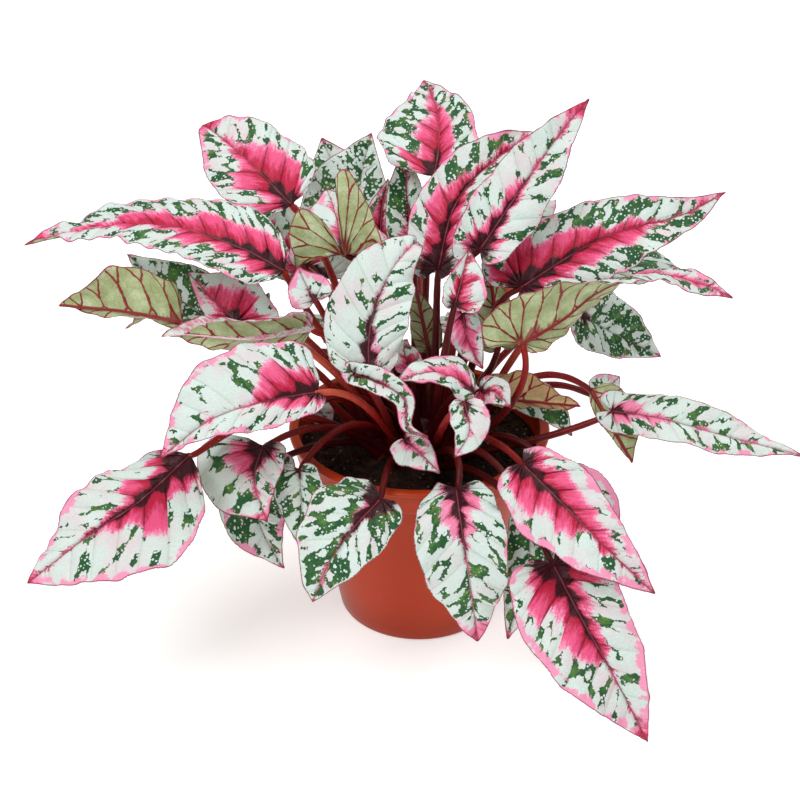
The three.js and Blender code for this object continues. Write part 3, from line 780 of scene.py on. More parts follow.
@dataclass(frozen=True)
class Pattern:
    """How the colours of an upper face are spread.

    Attributes:
        pink: The share of each vein's length that the pink heart takes up near the petiole.
        along: The share of the midrib along which the heart narrows to nothing.
        band: The share of the half width that stays pink along the midrib up to the tip.
        green: How much green shows between the silver cells, 0 to 1.
        dots: How many of the white dots in the green there are, 0 to 1.
        dark: The share of the midrib that has the near-black base along it.
        margin: How much of the margin has pink patches, 0 to 1.
        tip: The share of the length that is pink at the tip.
        tone: How crimson the pink is, 0 to 1.
    """

    pink: float = 0.2
    along: float = 0.5
    band: float = 0.0
    green: float = 0.35
    dots: float = 0.4
    dark: float = 0.35
    margin: float = 0.5
    tip: float = 0.05
    tone: float = 0.4

    def but(self, **changes: float) -> "Pattern":
        """The same pattern with some of its shares changed."""
        return replace(self, **changes)


SILVERY = Pattern()
HEARTED = Pattern(pink=0.62, along=0.85, band=0.06, green=0.55, tone=0.55)
BANDED = Pattern(pink=0.42, along=1.1, band=0.3, green=0.45, dark=0.25)
STRIPED = Pattern(pink=0.1, along=0.5, green=0.55, margin=0.45)
SPOTTED = Pattern(pink=0.0, along=0.3, green=0.95, dark=0.12, margin=0.3)


class Slot(Enum):
    """The record's material slots of the blades."""

    SILVER = "silver_leaf"
    PINK = "pink_leaf"
    SPOTTED = "spotted_leaf"
    UNDERSIDE = "leaf_underside"


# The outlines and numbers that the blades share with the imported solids. Each outline runs from the
# sinus to the tip, in shares of the length and of the half width.
HEART = np.array([
    (0, 0), (-0.10, 0.12), (-0.18, 0.35), (-0.18, 0.64), (-0.08, 0.89), (0.10, 1.00),
    (0.30, 0.95), (0.50, 0.77), (0.70, 0.50), (0.86, 0.23), (1.00, 0),
])
EGG = np.array([
    (0, 0), (-0.015, 0.15), (0, 0.36), (0.04, 0.62), (0.12, 0.84), (0.25, 0.98),
    (0.41, 1.00), (0.58, 0.87), (0.74, 0.60), (0.88, 0.29), (1.00, 0),
])
VEIN_SLANT = 0.8
WAVE_HEIGHT = 0.03
WAVE_COUNT = 2.5
SIDE_SHIFT = 1.7
SCALLOP = 0.03
FIRST_ROW_EGG = 0.2
FIRST_ROW_HEART = 0.1
HEEL_BEND = 0.1
LONG_BLADE = 50
SHORT_BLADE = 22
ROWS_LONG, ROWS_USUAL, ROWS_SHORT = 10, 9, 7


@dataclass
class Leaf:
    """One blade and its petiole, in millimetres.

    Attributes:
        slot: The record's material slot of the blade; not used here.
        pattern: How its upper face is coloured.
        midrib: The midrib's stops, from the petiole to the tip.
        up: The way that its upper face looks, and up_tip the same at the tip.
        width: The half widths left and right of the midrib.
        fold: The rise beside the midrib on each side, in degrees.
        curl: The change of that rise out to the margin, in degrees.
        wave: The height of the margin's waves, as a share of the usual height.
        heart: The share of the heart outline on each side, the rest being egg.
        lobe: How much longer than usual the basal lobe is on each side.
        heel: Where the basal lobes stand up from the midrib, with up_heel the way they look.
        over: The middle control point of the petiole's arch.
        lift: How far above the blade's base the arch passes.
        age: 0 on an unfolding tan leaf and 1 on a grown one.
        rolled: 1 on a side whose margin is rolled back, so that its upper colours show below.
    """

    slot: Slot
    pattern: Pattern
    midrib: list[Point]
    up: Point
    width: tuple[float, float]
    up_tip: Point | None = None
    fold: tuple[float, float] = (12, 12)
    curl: tuple[float, float] = (-20, -20)
    wave: float = 1
    heart: tuple[float, float] = (0.5, 0.5)
    lobe: tuple[float, float] = (1, 1)
    heel: Point | None = None
    up_heel: Point | None = None
    over: Point | None = None
    lift: float | None = None
    age: float = 1
    rolled: tuple[float, float] = (0, 0)


LEAVES = [
    Leaf(Slot.SILVER, HEARTED.but(pink=0.62, green=0.75, tip=0.14, dark=0.35),
         [(-57, 16, 199), (-77, 32, 213), (-92, 46, 220), (-99, 55, 221)], up=(0.1, -0.6, 0.8),
         width=(21, 24), curl=(-25, -30), heart=(0, 0), over=(-40, 24, 176)),
    Leaf(Slot.SPOTTED, SPOTTED.but(green=1.15, dots=0.9),
         [(-31, 48, 166), (-28, 68, 188), (-23, 80, 207)], up=(0, -0.8, 0.55), width=(27, 15),
         over=(-24, 40, 140)),
    Leaf(Slot.UNDERSIDE, SILVERY.but(pink=0.45, along=0.9, green=0.3),
         [(-33, -9, 187), (-38, 16, 196), (-42, 29, 201)], up=(0, -0.45, 0.9), width=(24, 20),
         fold=(2, 2), heart=(1, 1), lobe=(3.1, 5), heel=(-0.25, -0.05, 1), up_heel=(0, 1, 0.2)),
    Leaf(Slot.PINK, HEARTED.but(pink=0.6, along=1.1, green=0.95, dark=0.3),
         [(6, 32, 206), (8, 46, 213), (8, 62, 221), (5, 78, 227), (1, 86, 231)],
         up=(0, -0.4, 0.92), width=(27, 18), heart=(0, 0.3), over=(2, 46, 170)),
    Leaf(Slot.SPOTTED, SPOTTED.but(pink=0.6, tone=0.9, dark=0.6, margin=0.3, dots=0.5),
         [(-3, 22, 174), (-6, 40, 191), (-7, 56, 214)], up=(0, -0.85, 0.5), width=(11, 9),
         fold=(20, 20)),
    # Leaf 6's wide near-black base is partly its own dark centre and partly painted shade deep in
    # the clump's middle.
    Leaf(Slot.PINK, HEARTED.but(pink=0.68, along=0.75, band=0.26, green=0.8, dark=0.8, tone=0.8),
         [(8, 2, 175), (15, 15, 199), (31, 28, 214), (48, 36, 222), (56, 38, 219)],
         up=(-0.2, -0.7, 0.7), width=(18, 11), fold=(15, 25), heart=(0.4, 0.3)),
    Leaf(Slot.SILVER,
         STRIPED.but(pink=0.55, along=0.5, band=0.1, green=0.5, dark=0.5, tip=0.14, tone=0.5),
         [(26, -4, 187), (43, 9, 209), (60, 19, 231), (73, 27, 245)], up=(-0.1, -0.8, 0.6),
         width=(16, 15), fold=(25, 12), heart=(0.5, 0.3), lobe=(1.3, 1)),
    Leaf(Slot.PINK, HEARTED.but(pink=0.74, along=0.85, green=0.9, dark=0.45, tone=0.8),
         [(45, 0, 167), (73, 10, 182), (93, 14, 189), (116, 14, 196), (133, 12, 208)],
         up=(0, -0.6, 0.8), width=(25, 21), heart=(1.4, 0.3), lobe=(0.4, 1)),
    Leaf(Slot.UNDERSIDE, BANDED.but(green=0.75),
         [(44, -25, 152), (61, -17, 159), (79, -8, 170), (101, -4, 176), (123, -6, 172),
          (137, -10, 167)],
         up=(-0.1, 1, 0.15), width=(11, 24), fold=(0, 12), up_tip=(0, -0.6, 0.8), heart=(0, 0.8),
         over=(51, -29, 124)),
    Leaf(Slot.SPOTTED, SPOTTED.but(green=1.05), [(77, 58, 123), (99, 67, 106), (119, 70, 94)],
         up=(-0.1, -0.75, 0.6), width=(18, 13)),
    Leaf(Slot.PINK, BANDED.but(pink=0.6, band=0.26, green=0.9, dark=0.35, tip=0.1, tone=0.6),
         [(-58, -22, 185), (-77, -18, 194), (-102, -12, 200), (-128, -10, 201),
          (-152, -14, 198), (-169, -20, 196)],
         up=(0, -0.5, 0.87), width=(20, 24), up_tip=(0, 0.3, 0.95), wave=0.35, heart=(-0.1, -0.1),
         over=(-46, -8, 150)),
    Leaf(Slot.PINK, HEARTED.but(pink=0.7, tone=0.8),
         [(-52, 22, 165), (-71, 36, 176), (-92, 46, 187)], up=(0, -0.6, 0.8), width=(10, 22)),
    Leaf(Slot.SPOTTED, SPOTTED.but(green=1.1), [(-93, 2, 148), (-115, 12, 159), (-132, 19, 173)],
         up=(0, -0.7, 0.7), width=(10, 18)),
    Leaf(Slot.UNDERSIDE, SILVERY.but(margin=0.6),
         [(-103, -22, 160), (-127, -22, 165), (-156, -24, 169)], up=(-0.2, 0.95, 0.2),
         width=(24, 4), heart=(-0.2, 0), over=(-58, -10, 140)),
    Leaf(Slot.PINK, HEARTED.but(pink=0.7, tone=0.7),
         [(-80, -18, 158), (-91, -11, 166), (-102, -5, 176)], up=(0.3, -0.7, 0.6), width=(8, 20),
         heart=(0.5, 1), lobe=(1, 2.2)),
    Leaf(Slot.UNDERSIDE, SILVERY.but(margin=0.7),
         [(-47, -20, 156), (-73, -27, 155), (-100, -27, 157), (-112, -27, 156)], up=(0, 0.9, 0.4),
         width=(22, 13), curl=(-60, -20), wave=0.5, heart=(0, 0), rolled=(1, 0)),
    Leaf(Slot.SILVER, SILVERY.but(pink=0.62, along=0.42, green=0.5, margin=0.6, tone=0.5),
         [(-43, -56, 145), (-64, -68, 147), (-86, -80, 145), (-107, -88, 131)],
         up=(-0.1, -0.7, 0.7), width=(12, 27), heart=(0.2, 0.2)),
    Leaf(Slot.SILVER,
         HEARTED.but(pink=0.66, along=0.62, dark=0.7, green=0.4, margin=0.6, tone=0.6),
         [(-98, -62, 117), (-118, -80, 105), (-138, -92, 96), (-164, -104, 79)],
         up=(-0.3, -0.6, 0.75), width=(32, 20), heart=(-0.3, -0.3), lift=24),
    Leaf(Slot.SILVER, SILVERY.but(pink=0.55, along=0.45, dark=0.5, green=0.55, tip=0.15),
         [(-68, -50, 114), (-71, -62, 104), (-65, -74, 91)], up=(-0.2, -0.75, 0.6),
         width=(13, 27)),
    Leaf(Slot.SPOTTED, SPOTTED.but(green=1.0, margin=0.6),
         [(-69, -45, 99), (-71, -50, 76), (-60, -58, 55)], up=(-0.1, -0.9, 0.4), width=(17, 21),
         heart=(1.1, 1.1)),
    Leaf(Slot.SPOTTED, SPOTTED.but(green=0.9), [(-52, -53, 104), (-51, -60, 90), (-52, -66, 73)],
         up=(0, -0.8, 0.6), width=(10, 12), lift=22),
    Leaf(Slot.SPOTTED, SPOTTED.but(pink=0.25, along=0.5, green=1.0, dark=0.6),
         [(-16, -72, 102), (-29, -88, 95), (-39, -95, 81), (-45, -97, 65)], up=(-0.1, -0.8, 0.6),
         width=(16, 22), heart=(0.2, 0.2)),
    Leaf(Slot.SILVER,
         SILVERY.but(pink=0.3, along=0.36, green=0.45, dark=0.6, margin=0.3, tone=0.0),
         [(-22, -42, 144), (-21, -32, 165), (-13, -20, 183), (-4, -10, 191), (-1, -1, 189)],
         up=(0.15, -0.85, 0.5), width=(20.5, 16), heart=(0, 0)),
    Leaf(Slot.SILVER, STRIPED.but(green=0.75),
         [(-28, -48, 149), (-16, -56, 149), (-6, -63, 145), (-5, -68, 135), (4, -70, 131)],
         up=(-0.2, -0.7, 0.7), width=(7, 7), fold=(40, 40), over=(-16, -40, 134)),
    Leaf(Slot.PINK, BANDED.but(pink=0.5, green=0.7),
         [(23, -42, 137), (14, -42, 145), (2, -44, 148), (-10, -48, 145)], up=(0, -0.2, 1),
         width=(12, 12), heart=(0.3, 0.3)),
    Leaf(Slot.SPOTTED, STRIPED.but(green=0.7, margin=0.5),
         [(19, -60, 143), (21, -67, 132), (15, -70, 121)], up=(0, -0.9, 0.4), width=(9, 8),
         heart=(0.3, 0.3), over=(8, -58, 130)),
    Leaf(Slot.PINK, HEARTED.but(pink=0.6, tone=0.9),
         [(27, -26, 129), (34, -30, 130), (40, -34, 125)], up=(0, -0.6, 0.8), width=(8, 8)),
    Leaf(Slot.UNDERSIDE, SILVERY, [(28, -14, 120), (51, -16, 118), (72, -20, 118)],
         up=(0, 0.9, 0.3), width=(8, 17), heart=(0.2, 0.2), age=0),
    Leaf(Slot.PINK, HEARTED.but(pink=0.7, along=0.9, tone=0.8),
         [(-4, -16, 134), (-7, -11, 141), (-6, -6, 144)], up=(0, -0.87, 0.5), width=(7, 7)),
    Leaf(Slot.PINK, HEARTED.but(pink=0.8, along=0.9, tone=0.95, dark=0.5),
         [(15, -24, 170), (18, -18, 180), (21, -12, 191)], up=(0, -0.87, 0.5), width=(7, 13),
         fold=(30, 15), over=(10, -30, 150)),
    Leaf(Slot.PINK, BANDED.but(pink=0.7, green=0.2),
         [(19, -8, 158), (21, -14, 148), (28, -18, 135)], up=(0, -0.87, 0.5), width=(8, 8),
         fold=(25, 25)),
    Leaf(Slot.UNDERSIDE, SILVERY, [(78, 0, 115), (87, -10, 102), (97, -16, 86)],
         up=(0.2, 0.95, -0.2), width=(4, 14), heart=(0, 0), over=(48, -6, 140)),
    Leaf(Slot.SILVER, STRIPED.but(pink=0.5, along=0.34, dark=0.12, tone=0.1),
         [(85, -28, 120), (106, -36, 121), (137, -44, 116), (167, -52, 112)], up=(0, -0.6, 0.8),
         width=(12, 11), heart=(0.4, 0.4), over=(54, -29, 104)),
    Leaf(Slot.PINK, HEARTED.but(pink=0.72, dark=0.5, green=0.5, margin=0.75),
         [(44, -68, 117), (60, -84, 108), (78, -98, 95), (99, -106, 77)], up=(-0.1, -0.7, 0.7),
         width=(16, 20), heart=(0.3, 0.3)),
    Leaf(Slot.PINK, HEARTED.but(pink=0.7, along=0.62, dark=0.6, green=0.5, margin=0.7, tip=0.1),
         [(57, -90, 81), (67, -112, 71), (81, -125, 50), (97, -133, 20)], up=(0, -0.8, 0.6),
         width=(20, 25), heart=(0.4, 0.4), over=(38, -64, 114)),
    Leaf(Slot.SILVER,
         SILVERY.but(pink=0.5, along=0.4, dark=0.45, green=0.62, margin=0.3, tip=0.14, tone=0.1),
         [(16, -67, 104), (18, -86, 97), (22, -94, 73), (26, -92, 41)], up=(0, -0.8, 0.6),
         width=(19, 21), heart=(0.1, 0.1), over=(20, -54, 124)),
    Leaf(Slot.SILVER, BANDED.but(pink=0.4, green=0.3),
         [(-6, -43, 114), (2, -54, 112), (9, -61, 108)], up=(0, -0.7, 0.7), width=(7, 10)),
    Leaf(Slot.SPOTTED, SPOTTED, [(48, -66, 91), (47, -80, 71), (39, -86, 38)], up=(0, -0.9, 0.4),
         width=(11, 11), heart=(0.3, 0.3), lift=34),
    Leaf(Slot.SILVER, STRIPED.but(margin=0.9), [(64, -45, 94), (77, -50, 87), (88, -55, 71)],
         up=(0, -0.7, 0.7), width=(12, 10), heart=(0.4, 0.4), lift=24),
    Leaf(Slot.SPOTTED, SPOTTED.but(green=0.95), [(44, 0, 111), (57, -4, 108), (70, -8, 95)],
         up=(0, -0.7, 0.7), width=(10, 7)),
    Leaf(Slot.SILVER, STRIPED, [(-46, -21, 117), (-39, -18, 105)], up=(0, -0.8, 0.6),
         width=(6, 6)),
    Leaf(Slot.UNDERSIDE, SPOTTED.but(green=1.0), [(37, 20, 127), (32, 34, 158)], up=(0, 0.9, 0.3),
         width=(10, 11), over=(30, 8, 110)),
    Leaf(Slot.SILVER, STRIPED.but(pink=0.3, along=0.4),
         [(83, 8, 107), (88, 14, 109), (93, 18, 112)], up=(0, -0.87, 0.5), width=(9, 8),
         over=(50, 10, 124)),
    Leaf(Slot.SILVER, STRIPED.but(green=0.3, margin=0.8),
         [(-45, -28, 174), (-49, -26, 181), (-52, -24, 188)], up=(-0.2, -0.8, 0.6), width=(10, 10),
         over=(-30, -22, 140)),
    Leaf(Slot.PINK, HEARTED, [(0, 58, 150), (4, 86, 158), (8, 120, 146)], up=(0, 0.35, 0.95),
         width=(22, 22)),
    Leaf(Slot.SILVER, SILVERY, [(-46, 62, 140), (-62, 86, 146), (-84, 112, 132)],
         up=(-0.2, 0.3, 0.95), width=(22, 22)),
    Leaf(Slot.SILVER, STRIPED, [(50, 66, 140), (66, 92, 144), (82, 122, 128)], up=(0.2, 0.3, 0.95),
         width=(22, 22)),
    Leaf(Slot.SPOTTED, SPOTTED, [(-80, 34, 136), (-112, 48, 134), (-142, 56, 116)],
         up=(-0.3, 0.1, 0.95), width=(20, 22)),
    Leaf(Slot.PINK, HEARTED, [(22, 74, 104), (30, 102, 96), (38, 128, 70)], up=(0.1, 0.6, 0.8),
         width=(22, 20)),
    Leaf(Slot.SILVER, SILVERY, [(-26, 76, 104), (-38, 104, 96), (-50, 128, 70)],
         up=(-0.1, 0.6, 0.8), width=(22, 20)),
    Leaf(Slot.SPOTTED, SPOTTED, [(84, 38, 156), (108, 54, 156), (130, 70, 138)],
         up=(0.3, 0.1, 0.95), width=(20, 18)),
    Leaf(Slot.PINK, BANDED, [(-64, 66, 96), (-84, 88, 84), (-100, 104, 58)], up=(-0.4, 0.5, 0.8),
         width=(20, 20), lift=30),
    Leaf(Slot.SPOTTED, SPOTTED, [(-35, 84, 165), (-41, 98, 179), (-48, 108, 193)],
         up=(0, -0.8, 0.6), width=(18, 16), over=(-20, 54, 140)),
    Leaf(Slot.PINK, HEARTED, [(38, 40, 170), (50, 62, 178), (62, 84, 172)], up=(0.2, 0.2, 0.95),
         width=(16, 17)),
    Leaf(Slot.SILVER, SILVERY, [(-56, 44, 158), (-72, 68, 162), (-92, 92, 154)],
         up=(-0.2, 0.2, 0.95), width=(17, 18)),
    Leaf(Slot.PINK, HEARTED.but(pink=0.95, along=0.9, green=0.8, dark=0.9, tone=1.0),
         [(-17, 24, 168), (-18, 38, 182), (-15, 50, 197)], up=(0, -0.85, 0.5), width=(9, 9),
         fold=(20, 20)),
    Leaf(Slot.UNDERSIDE, SILVERY, [(4, 10, 131), (1, 12, 145), (-2, 14, 160)], up=(0, 0.9, 0.2),
         width=(8, 7)),
]


@dataclass
class Blade:
    """The surface of one leaf: a sheet over its midrib, folded, waved, puckered and toothed.

    Lengths are in millimetres. What isn't listed is a height, a width or a count that its name
    gives.

    Attributes:
        leaf: The leaf.
        number: Its number, which also seeds what is uneven about it.
        column_ease: The power that crowds the columns towards the midrib.
        frilling: The margin's frills, as a share of its reach.
        frill_apart: How far apart the leaves' frills lie in the noise, like ruffle_apart.
        edge_nearness: The margin's distance as a share of the way to it along a vein.
        nowhere: The depth inside a colour's area where the leaf has none of it.
        leaf_apart: How far apart the leaves' patterns lie, with margin_apart and side_apart.
        vein_shares: The range of what the heart's reach differs by from vein to vein.
        vein_bleed: How far the dark base runs out along veins, with base_bleed near the petiole.
        base_growth: What base_width grows by with the half width.
        disc_reach: The dark disc at the petiole, in half widths, with disc_fall for how it ends.
    """

    leaf: Leaf
    number: int
    thickness: float = 0.45
    margin_thinning: float = 0.5
    vein_spacing: float = 10.0
    fewest_veins: int = 3
    spine_steps: int = 201
    rim_steps: int = 60
    rows_per_mm: float = 1.5
    fewest_rows: int = 44
    most_rows: int = 150
    column_count: int = 15
    column_ease: float = 1.35
    pucker: float = 1.15
    pucker_width: float = 15
    blister: float = 0.22
    blister_size: float = 3.3
    midrib_groove: float = 0.5
    rib_depth: float = 0.9
    rib_width: float = 1.1
    ruffle: float = 1.2
    ruffle_width: float = 18
    ruffle_noise: float = 1.9
    ruffle_sine: float = 0.5
    frilling: float = 0.055
    tooth: float = 0.4
    tooth_spacing: float = 3.1
    tooth_jitter: float = 0.37
    tooth_notch: float = 0.35
    tooth_width: float = 6
    tooth_power: int = 10
    frill_scale: float = 1.1
    frill_apart: tuple[float, float] = (7.3, 0.37)
    ruffle_scale: float = 0.9
    ruffle_apart: tuple[float, float] = (5.1, 0.61)
    ruffle_side: float = 9.3
    pucker_mean: float = 0.6
    pucker_fading: float = 0.8
    blister_start: float = 40
    edge_nearness: float = 0.85
    heart_ease: float = 1.6
    nowhere: float = -20
    leaf_apart: float = 37.0
    margin_apart: float = 41.0
    side_apart: float = 500.0
    vein_shares: tuple[float, float] = (0.5, 1.2)
    share_count: int = 64
    side_shares: int = 20
    vein_bleed: float = 0.11
    base_bleed: float = 0.2
    bleed_width: float = 0.6
    base_width: float = 0.6
    base_growth: float = 0.02
    base_ease: float = 0.6
    disc_reach: float = 0.4
    disc_fall: float = 0.6

    def __post_init__(self) -> None:
        """Measures the midrib and settles how many rows the outline has."""
        leaf = self.leaf
        self.stops = np.array(leaf.midrib, float)
        self.up_base = np.array(leaf.up, float)
        self.up_end = np.array(leaf.up_tip or leaf.up, float)
        self.turns = np.linspace(0, 1, self.spine_steps)
        steps = np.linalg.norm(np.diff(catmull_rom(self.stops, self.turns), axis=0), axis=1)
        self.travelled = np.concatenate([[0], np.cumsum(steps)])
        self.length = self.travelled[-1]
        self.half_width = sum(leaf.width) / 2
        heart = np.clip(sum(leaf.heart) / 2, 0, 1)
        self.first_row = FIRST_ROW_EGG + (FIRST_ROW_HEART - FIRST_ROW_EGG) * heart
        self.solid_rows = ROWS_LONG if self.length > LONG_BLADE else ROWS_USUAL
        if self.length < SHORT_BLADE:
            self.solid_rows = ROWS_SHORT

    def spine(self, share: Array) -> tuple[Array, Array, Array, Array]:
        """The midrib's frame at shares of its length.

        Behind the petiole, below 0, it goes on straight, or turns up along the heel.

        Args:
            share: The shares.

        Returns:
            The places, and the directions ahead, up and right.
        """
        along = np.clip(share, 0, 1)
        turn = np.interp(along * self.length, self.travelled, self.turns)
        nudge = 1e-3
        after = catmull_rom(self.stops, np.minimum(turn + nudge, 1))
        before = catmull_rom(self.stops, np.maximum(turn - nudge, 0))
        place, ahead = catmull_rom(self.stops, turn), unit(after - before)
        hint = blend(self.up_base, self.up_end, along)
        behind = np.maximum(-share, 0)
        way = -ahead
        if self.leaf.heel is not None:
            bent = np.clip(behind / HEEL_BEND, 0, 1)
            way = blend(way, unit(np.array(self.leaf.heel, float)), bent)
            hint = blend(hint, np.array(self.leaf.up_heel, float), bent)
            ahead = np.where(behind[..., None] > 0, -unit(way), ahead)
        place = place + way * (behind * self.length)[..., None]
        up = unit(hint - (hint * ahead).sum(-1, keepdims=True) * ahead)
        return place, ahead, up, np.cross(ahead, up)

    def margin(self, side: int, u: Array) -> tuple[Array, Array]:
        """A side's margin: the egg and the heart outlines mixed, the basal lobe drawn out.

        Args:
            side: 0 for the left half and 1 for the right.
            u: Where on the margin, from 0 at the sinus to 1 at the tip.

        Returns:
            How far along, in shares of the length, and out, in shares of the half width.
        """
        heart, lobe = self.leaf.heart[side], self.leaf.lobe[side]
        spot = catmull_rom(EGG, u) * (1 - heart) + catmull_rom(HEART, u) * heart
        along = np.where(spot[..., 0] < 0, spot[..., 0] * lobe, spot[..., 0])
        return along, np.maximum(spot[..., 1], 0)

    def half(self, side: int, u: Array, v: Array) -> dict[str, Array]:
        """One half of the blade.

        Each u is a line from the midrib out to the margin, slanting forwards as the side veins do,
        and v the share of the way out along it. Across, the surface leaves the midrib at the fold
        angle and bends evenly by the curl, so it is part of a circle. A sine of u times v^2 lifts
        it in long waves, and noise and a sine along the margin, times v^4, in ruffles. The reach
        out is scalloped by a cosine from line to line, frilled by noise along the margin times
        v^3, and cut back times v^10 by teeth, a saw along the margin that a sine makes uneven.

        Args:
            side: 0 for the left half and 1 for the right.
            u: The lines, as a column.
            v: The shares, as a row.

        Returns:
            The places, and for each the numbers that relief and finishes read.
        """
        width, number, grid = self.leaf.width[side], self.number, np.ones_like(u * v)
        margin_along, margin_out = self.margin(side, u)
        slant = VEIN_SLANT * margin_out * self.half_width / self.length
        start = np.clip(margin_along - slant, 0, 1)
        reach = np.hypot((margin_along - start) * self.length, margin_out * width)
        rim = np.stack([margin_along * self.length, margin_out * width], -1)[:, 0]
        rim_steps = np.linalg.norm(np.diff(rim, axis=0), axis=1)
        travelled = np.concatenate([[0], np.cumsum(rim_steps)])[:, None] * grid
        veins = max(self.fewest_veins, round(travelled[-1, 0] / self.vein_spacing))
        rank = travelled / travelled[-1, 0] * veins + 0.5 * side
        share = start + (margin_along - start) * v

        # The margin's reach, with its teeth, frills and scallops.
        jitter = self.tooth_jitter * np.sin(travelled)
        saw = np.abs((travelled / self.tooth_spacing + jitter) % 1 - self.tooth_notch)
        tooth = -self.tooth * saw / max(width, self.tooth_width) * v**self.tooth_power
        tooth = tooth * np.minimum(1, 3 * margin_out)
        step, shift = self.frill_apart
        frill = line_noise(rank * self.frill_scale + step * number, shift * number, 3)
        rows = (self.solid_rows - 1) * (u - self.first_row) / (1 - self.first_row)
        out = margin_out * v * (1 + SCALLOP * v * np.cos(np.pi * rows)) * (1 + 2 * tooth)
        out = out * (1 + self.frilling * frill * v**3)

        # The cross-section, and the waves and ruffles that lift it.
        fold, bend = np.radians(self.leaf.fold[side]), np.radians(self.leaf.curl[side])
        slope = fold + bend * out
        across = (np.sin(slope) - np.sin(fold)) / bend * width
        wave = np.sin(2 * np.pi * WAVE_COUNT * u + self.leaf.midrib[0][0] + side * SIDE_SHIFT)
        step, shift = self.ruffle_apart
        row = self.ruffle_side * side + shift * number
        uneven = line_noise(rank * self.ruffle_scale + step * number, row, 4)
        sine = np.sin(rank * 2 * np.pi + number)
        ruffle = self.ruffle_noise * uneven + self.ruffle_sine * sine
        small = min(1, self.half_width / self.ruffle_width)
        wave_height = WAVE_HEIGHT * self.leaf.wave * self.length
        lift = wave_height * wave * v**2 + self.ruffle * small * ruffle * v**4
        lift = lift * np.minimum(1, 2.5 * margin_out)
        rise = (np.cos(fold) - np.cos(slope)) / bend * width + lift
        place, _, up, right = self.spine(share)
        sign = 1 if side == 1 else -1
        return {
            "place": place + right * (sign * across)[..., None] + up * rise[..., None],
            "share": share, "start": start * grid, "v": v * grid, "rank": rank,
            "reach": reach * grid, "travelled": travelled, "across": sign * across,
        }

    def middle(self) -> tuple[dict[str, Array], Array]:
        """The middle surface: left and right halves side by side, with points that meet made one.

        Each half's small squares are cut along the diagonal that slants as its veins do.

        Returns:
            The numbers of each point, and the triangles that face the upper side.
        """
        outline = catmull_rom(HEART, np.linspace(0, 1, self.rim_steps))
        rim = outline * (self.length, self.half_width)
        rim_length = np.linalg.norm(np.diff(rim, axis=0), axis=1).sum()
        rows = int(np.clip(rim_length * self.rows_per_mm, self.fewest_rows, self.most_rows))
        u = np.linspace(self.first_row, 1, rows)[:, None]
        v = np.linspace(0, 1, self.column_count)[None] ** self.column_ease
        left, right = self.half(0, u, v), self.half(1, u, v)
        whole = {key: np.concatenate([left[key][:, :0:-1], right[key]], axis=1) for key in left}
        columns = whole["v"].shape[1]
        flat = {key: value.reshape(rows * columns, -1) for key, value in whole.items()}
        keys = np.round(flat["place"], 3)
        _, first, number = np.unique(keys, axis=0, return_index=True, return_inverse=True)
        corner = number.reshape(rows, columns)
        middle = columns // 2
        a, d = corner[:-1, :-1], corner[:-1, 1:]
        b, c = corner[1:, :-1], corner[1:, 1:]
        near, far = np.s_[:, :middle], np.s_[:, middle:]
        halves = [(near, (a, d, c)), (near, (a, c, b)), (far, (a, d, b)), (far, (d, c, b))]
        triangles = np.vstack([
            np.stack([corners[side].ravel() for corners in trio], 1) for side, trio in halves
        ])
        p, q, r = triangles.T
        triangles = triangles[(p != q) & (q != r) & (r != p)]
        points = {key: value[first].squeeze() for key, value in flat.items()}
        return points, triangles

    def layers(self, points: dict[str, Array]) -> dict[str, Array]:
        """What the finishes read at each point, as UpperSkin says.

        The pink heart reaches a share of the way out that falls from the petiole as a power of the
        distance along the midrib, and differs from vein to vein. The dark base keeps to the midrib,
        with spikes along the veins that are bell curves across them, and to a disc at the petiole.

        Args:
            points: The numbers of each point, from middle.

        Returns:
            The attributes, each one vector for each point.
        """
        pattern, number = self.leaf.pattern, self.number
        rng = np.random.default_rng(number)
        start, v, reach, rank = (points[key] for key in ("start", "v", "reach", "rank"))
        along, across = points["share"] * self.length, points["across"]
        out, edge = v * reach, (1 - v) * reach * self.edge_nearness
        edge = np.minimum(edge, points["travelled"] * v + 3 * (1 - v))
        right = across > 0
        shares = rng.uniform(*self.vein_shares, self.share_count)
        uneven = shares[(rank + self.side_shares * right).astype(int)]

        # The depth inside the pink heart, the band along the midrib and the tip.
        narrowing = np.clip(1 - (start / max(pattern.along, 0.01)) ** self.heart_ease, 0, 1)
        limit = pattern.pink * narrowing * uneven * reach
        limit = np.maximum(limit, pattern.band * self.half_width * uneven * (1 - 0.5 * start))
        heart = np.where(pattern.pink + pattern.band > 0, limit - out, self.nowhere)
        tip = (points["share"] - 1 + pattern.tip) * self.length
        heart = np.maximum(heart, np.where(pattern.tip > 0, tip, self.nowhere))

        # The depth inside the dark base.
        fading = np.clip(1 - start / max(pattern.dark, 0.01), 0, 1)
        from_vein = np.abs((rank + 0.5) % 1 - 0.5) * self.vein_spacing * np.maximum(v, 0.15)
        spike = np.exp(-((from_vein / self.bleed_width) ** 2))
        along_vein = (self.vein_bleed + self.base_bleed * fading**2) * reach * spike
        width = self.base_width + self.base_growth * self.half_width + along_vein
        base = width * fading**self.base_ease - out - self.base_width * (fading == 0)
        disc = self.disc_reach * pattern.dark * self.half_width
        disc = disc - self.disc_fall * np.hypot(along, across)
        base = np.maximum(base, disc)

        rolled = np.where(right, self.leaf.rolled[1], self.leaf.rolled[0])
        travelled = points["travelled"] + number * self.margin_apart + self.side_apart * right
        attributes = {
            "leaf_flat": (along, across, number * self.leaf_apart),
            "leaf_vein": (travelled, out, rank),
            "leaf_reach": (heart, base, edge),
            "leaf_share": (pattern.green, pattern.margin, pattern.tone),
            "leaf_more": (pattern.dots, 1 - self.leaf.age, rolled),
        }
        return {name: np.stack(np.broadcast_arrays(*three, v)[:3], 1)
                for name, three in attributes.items()}

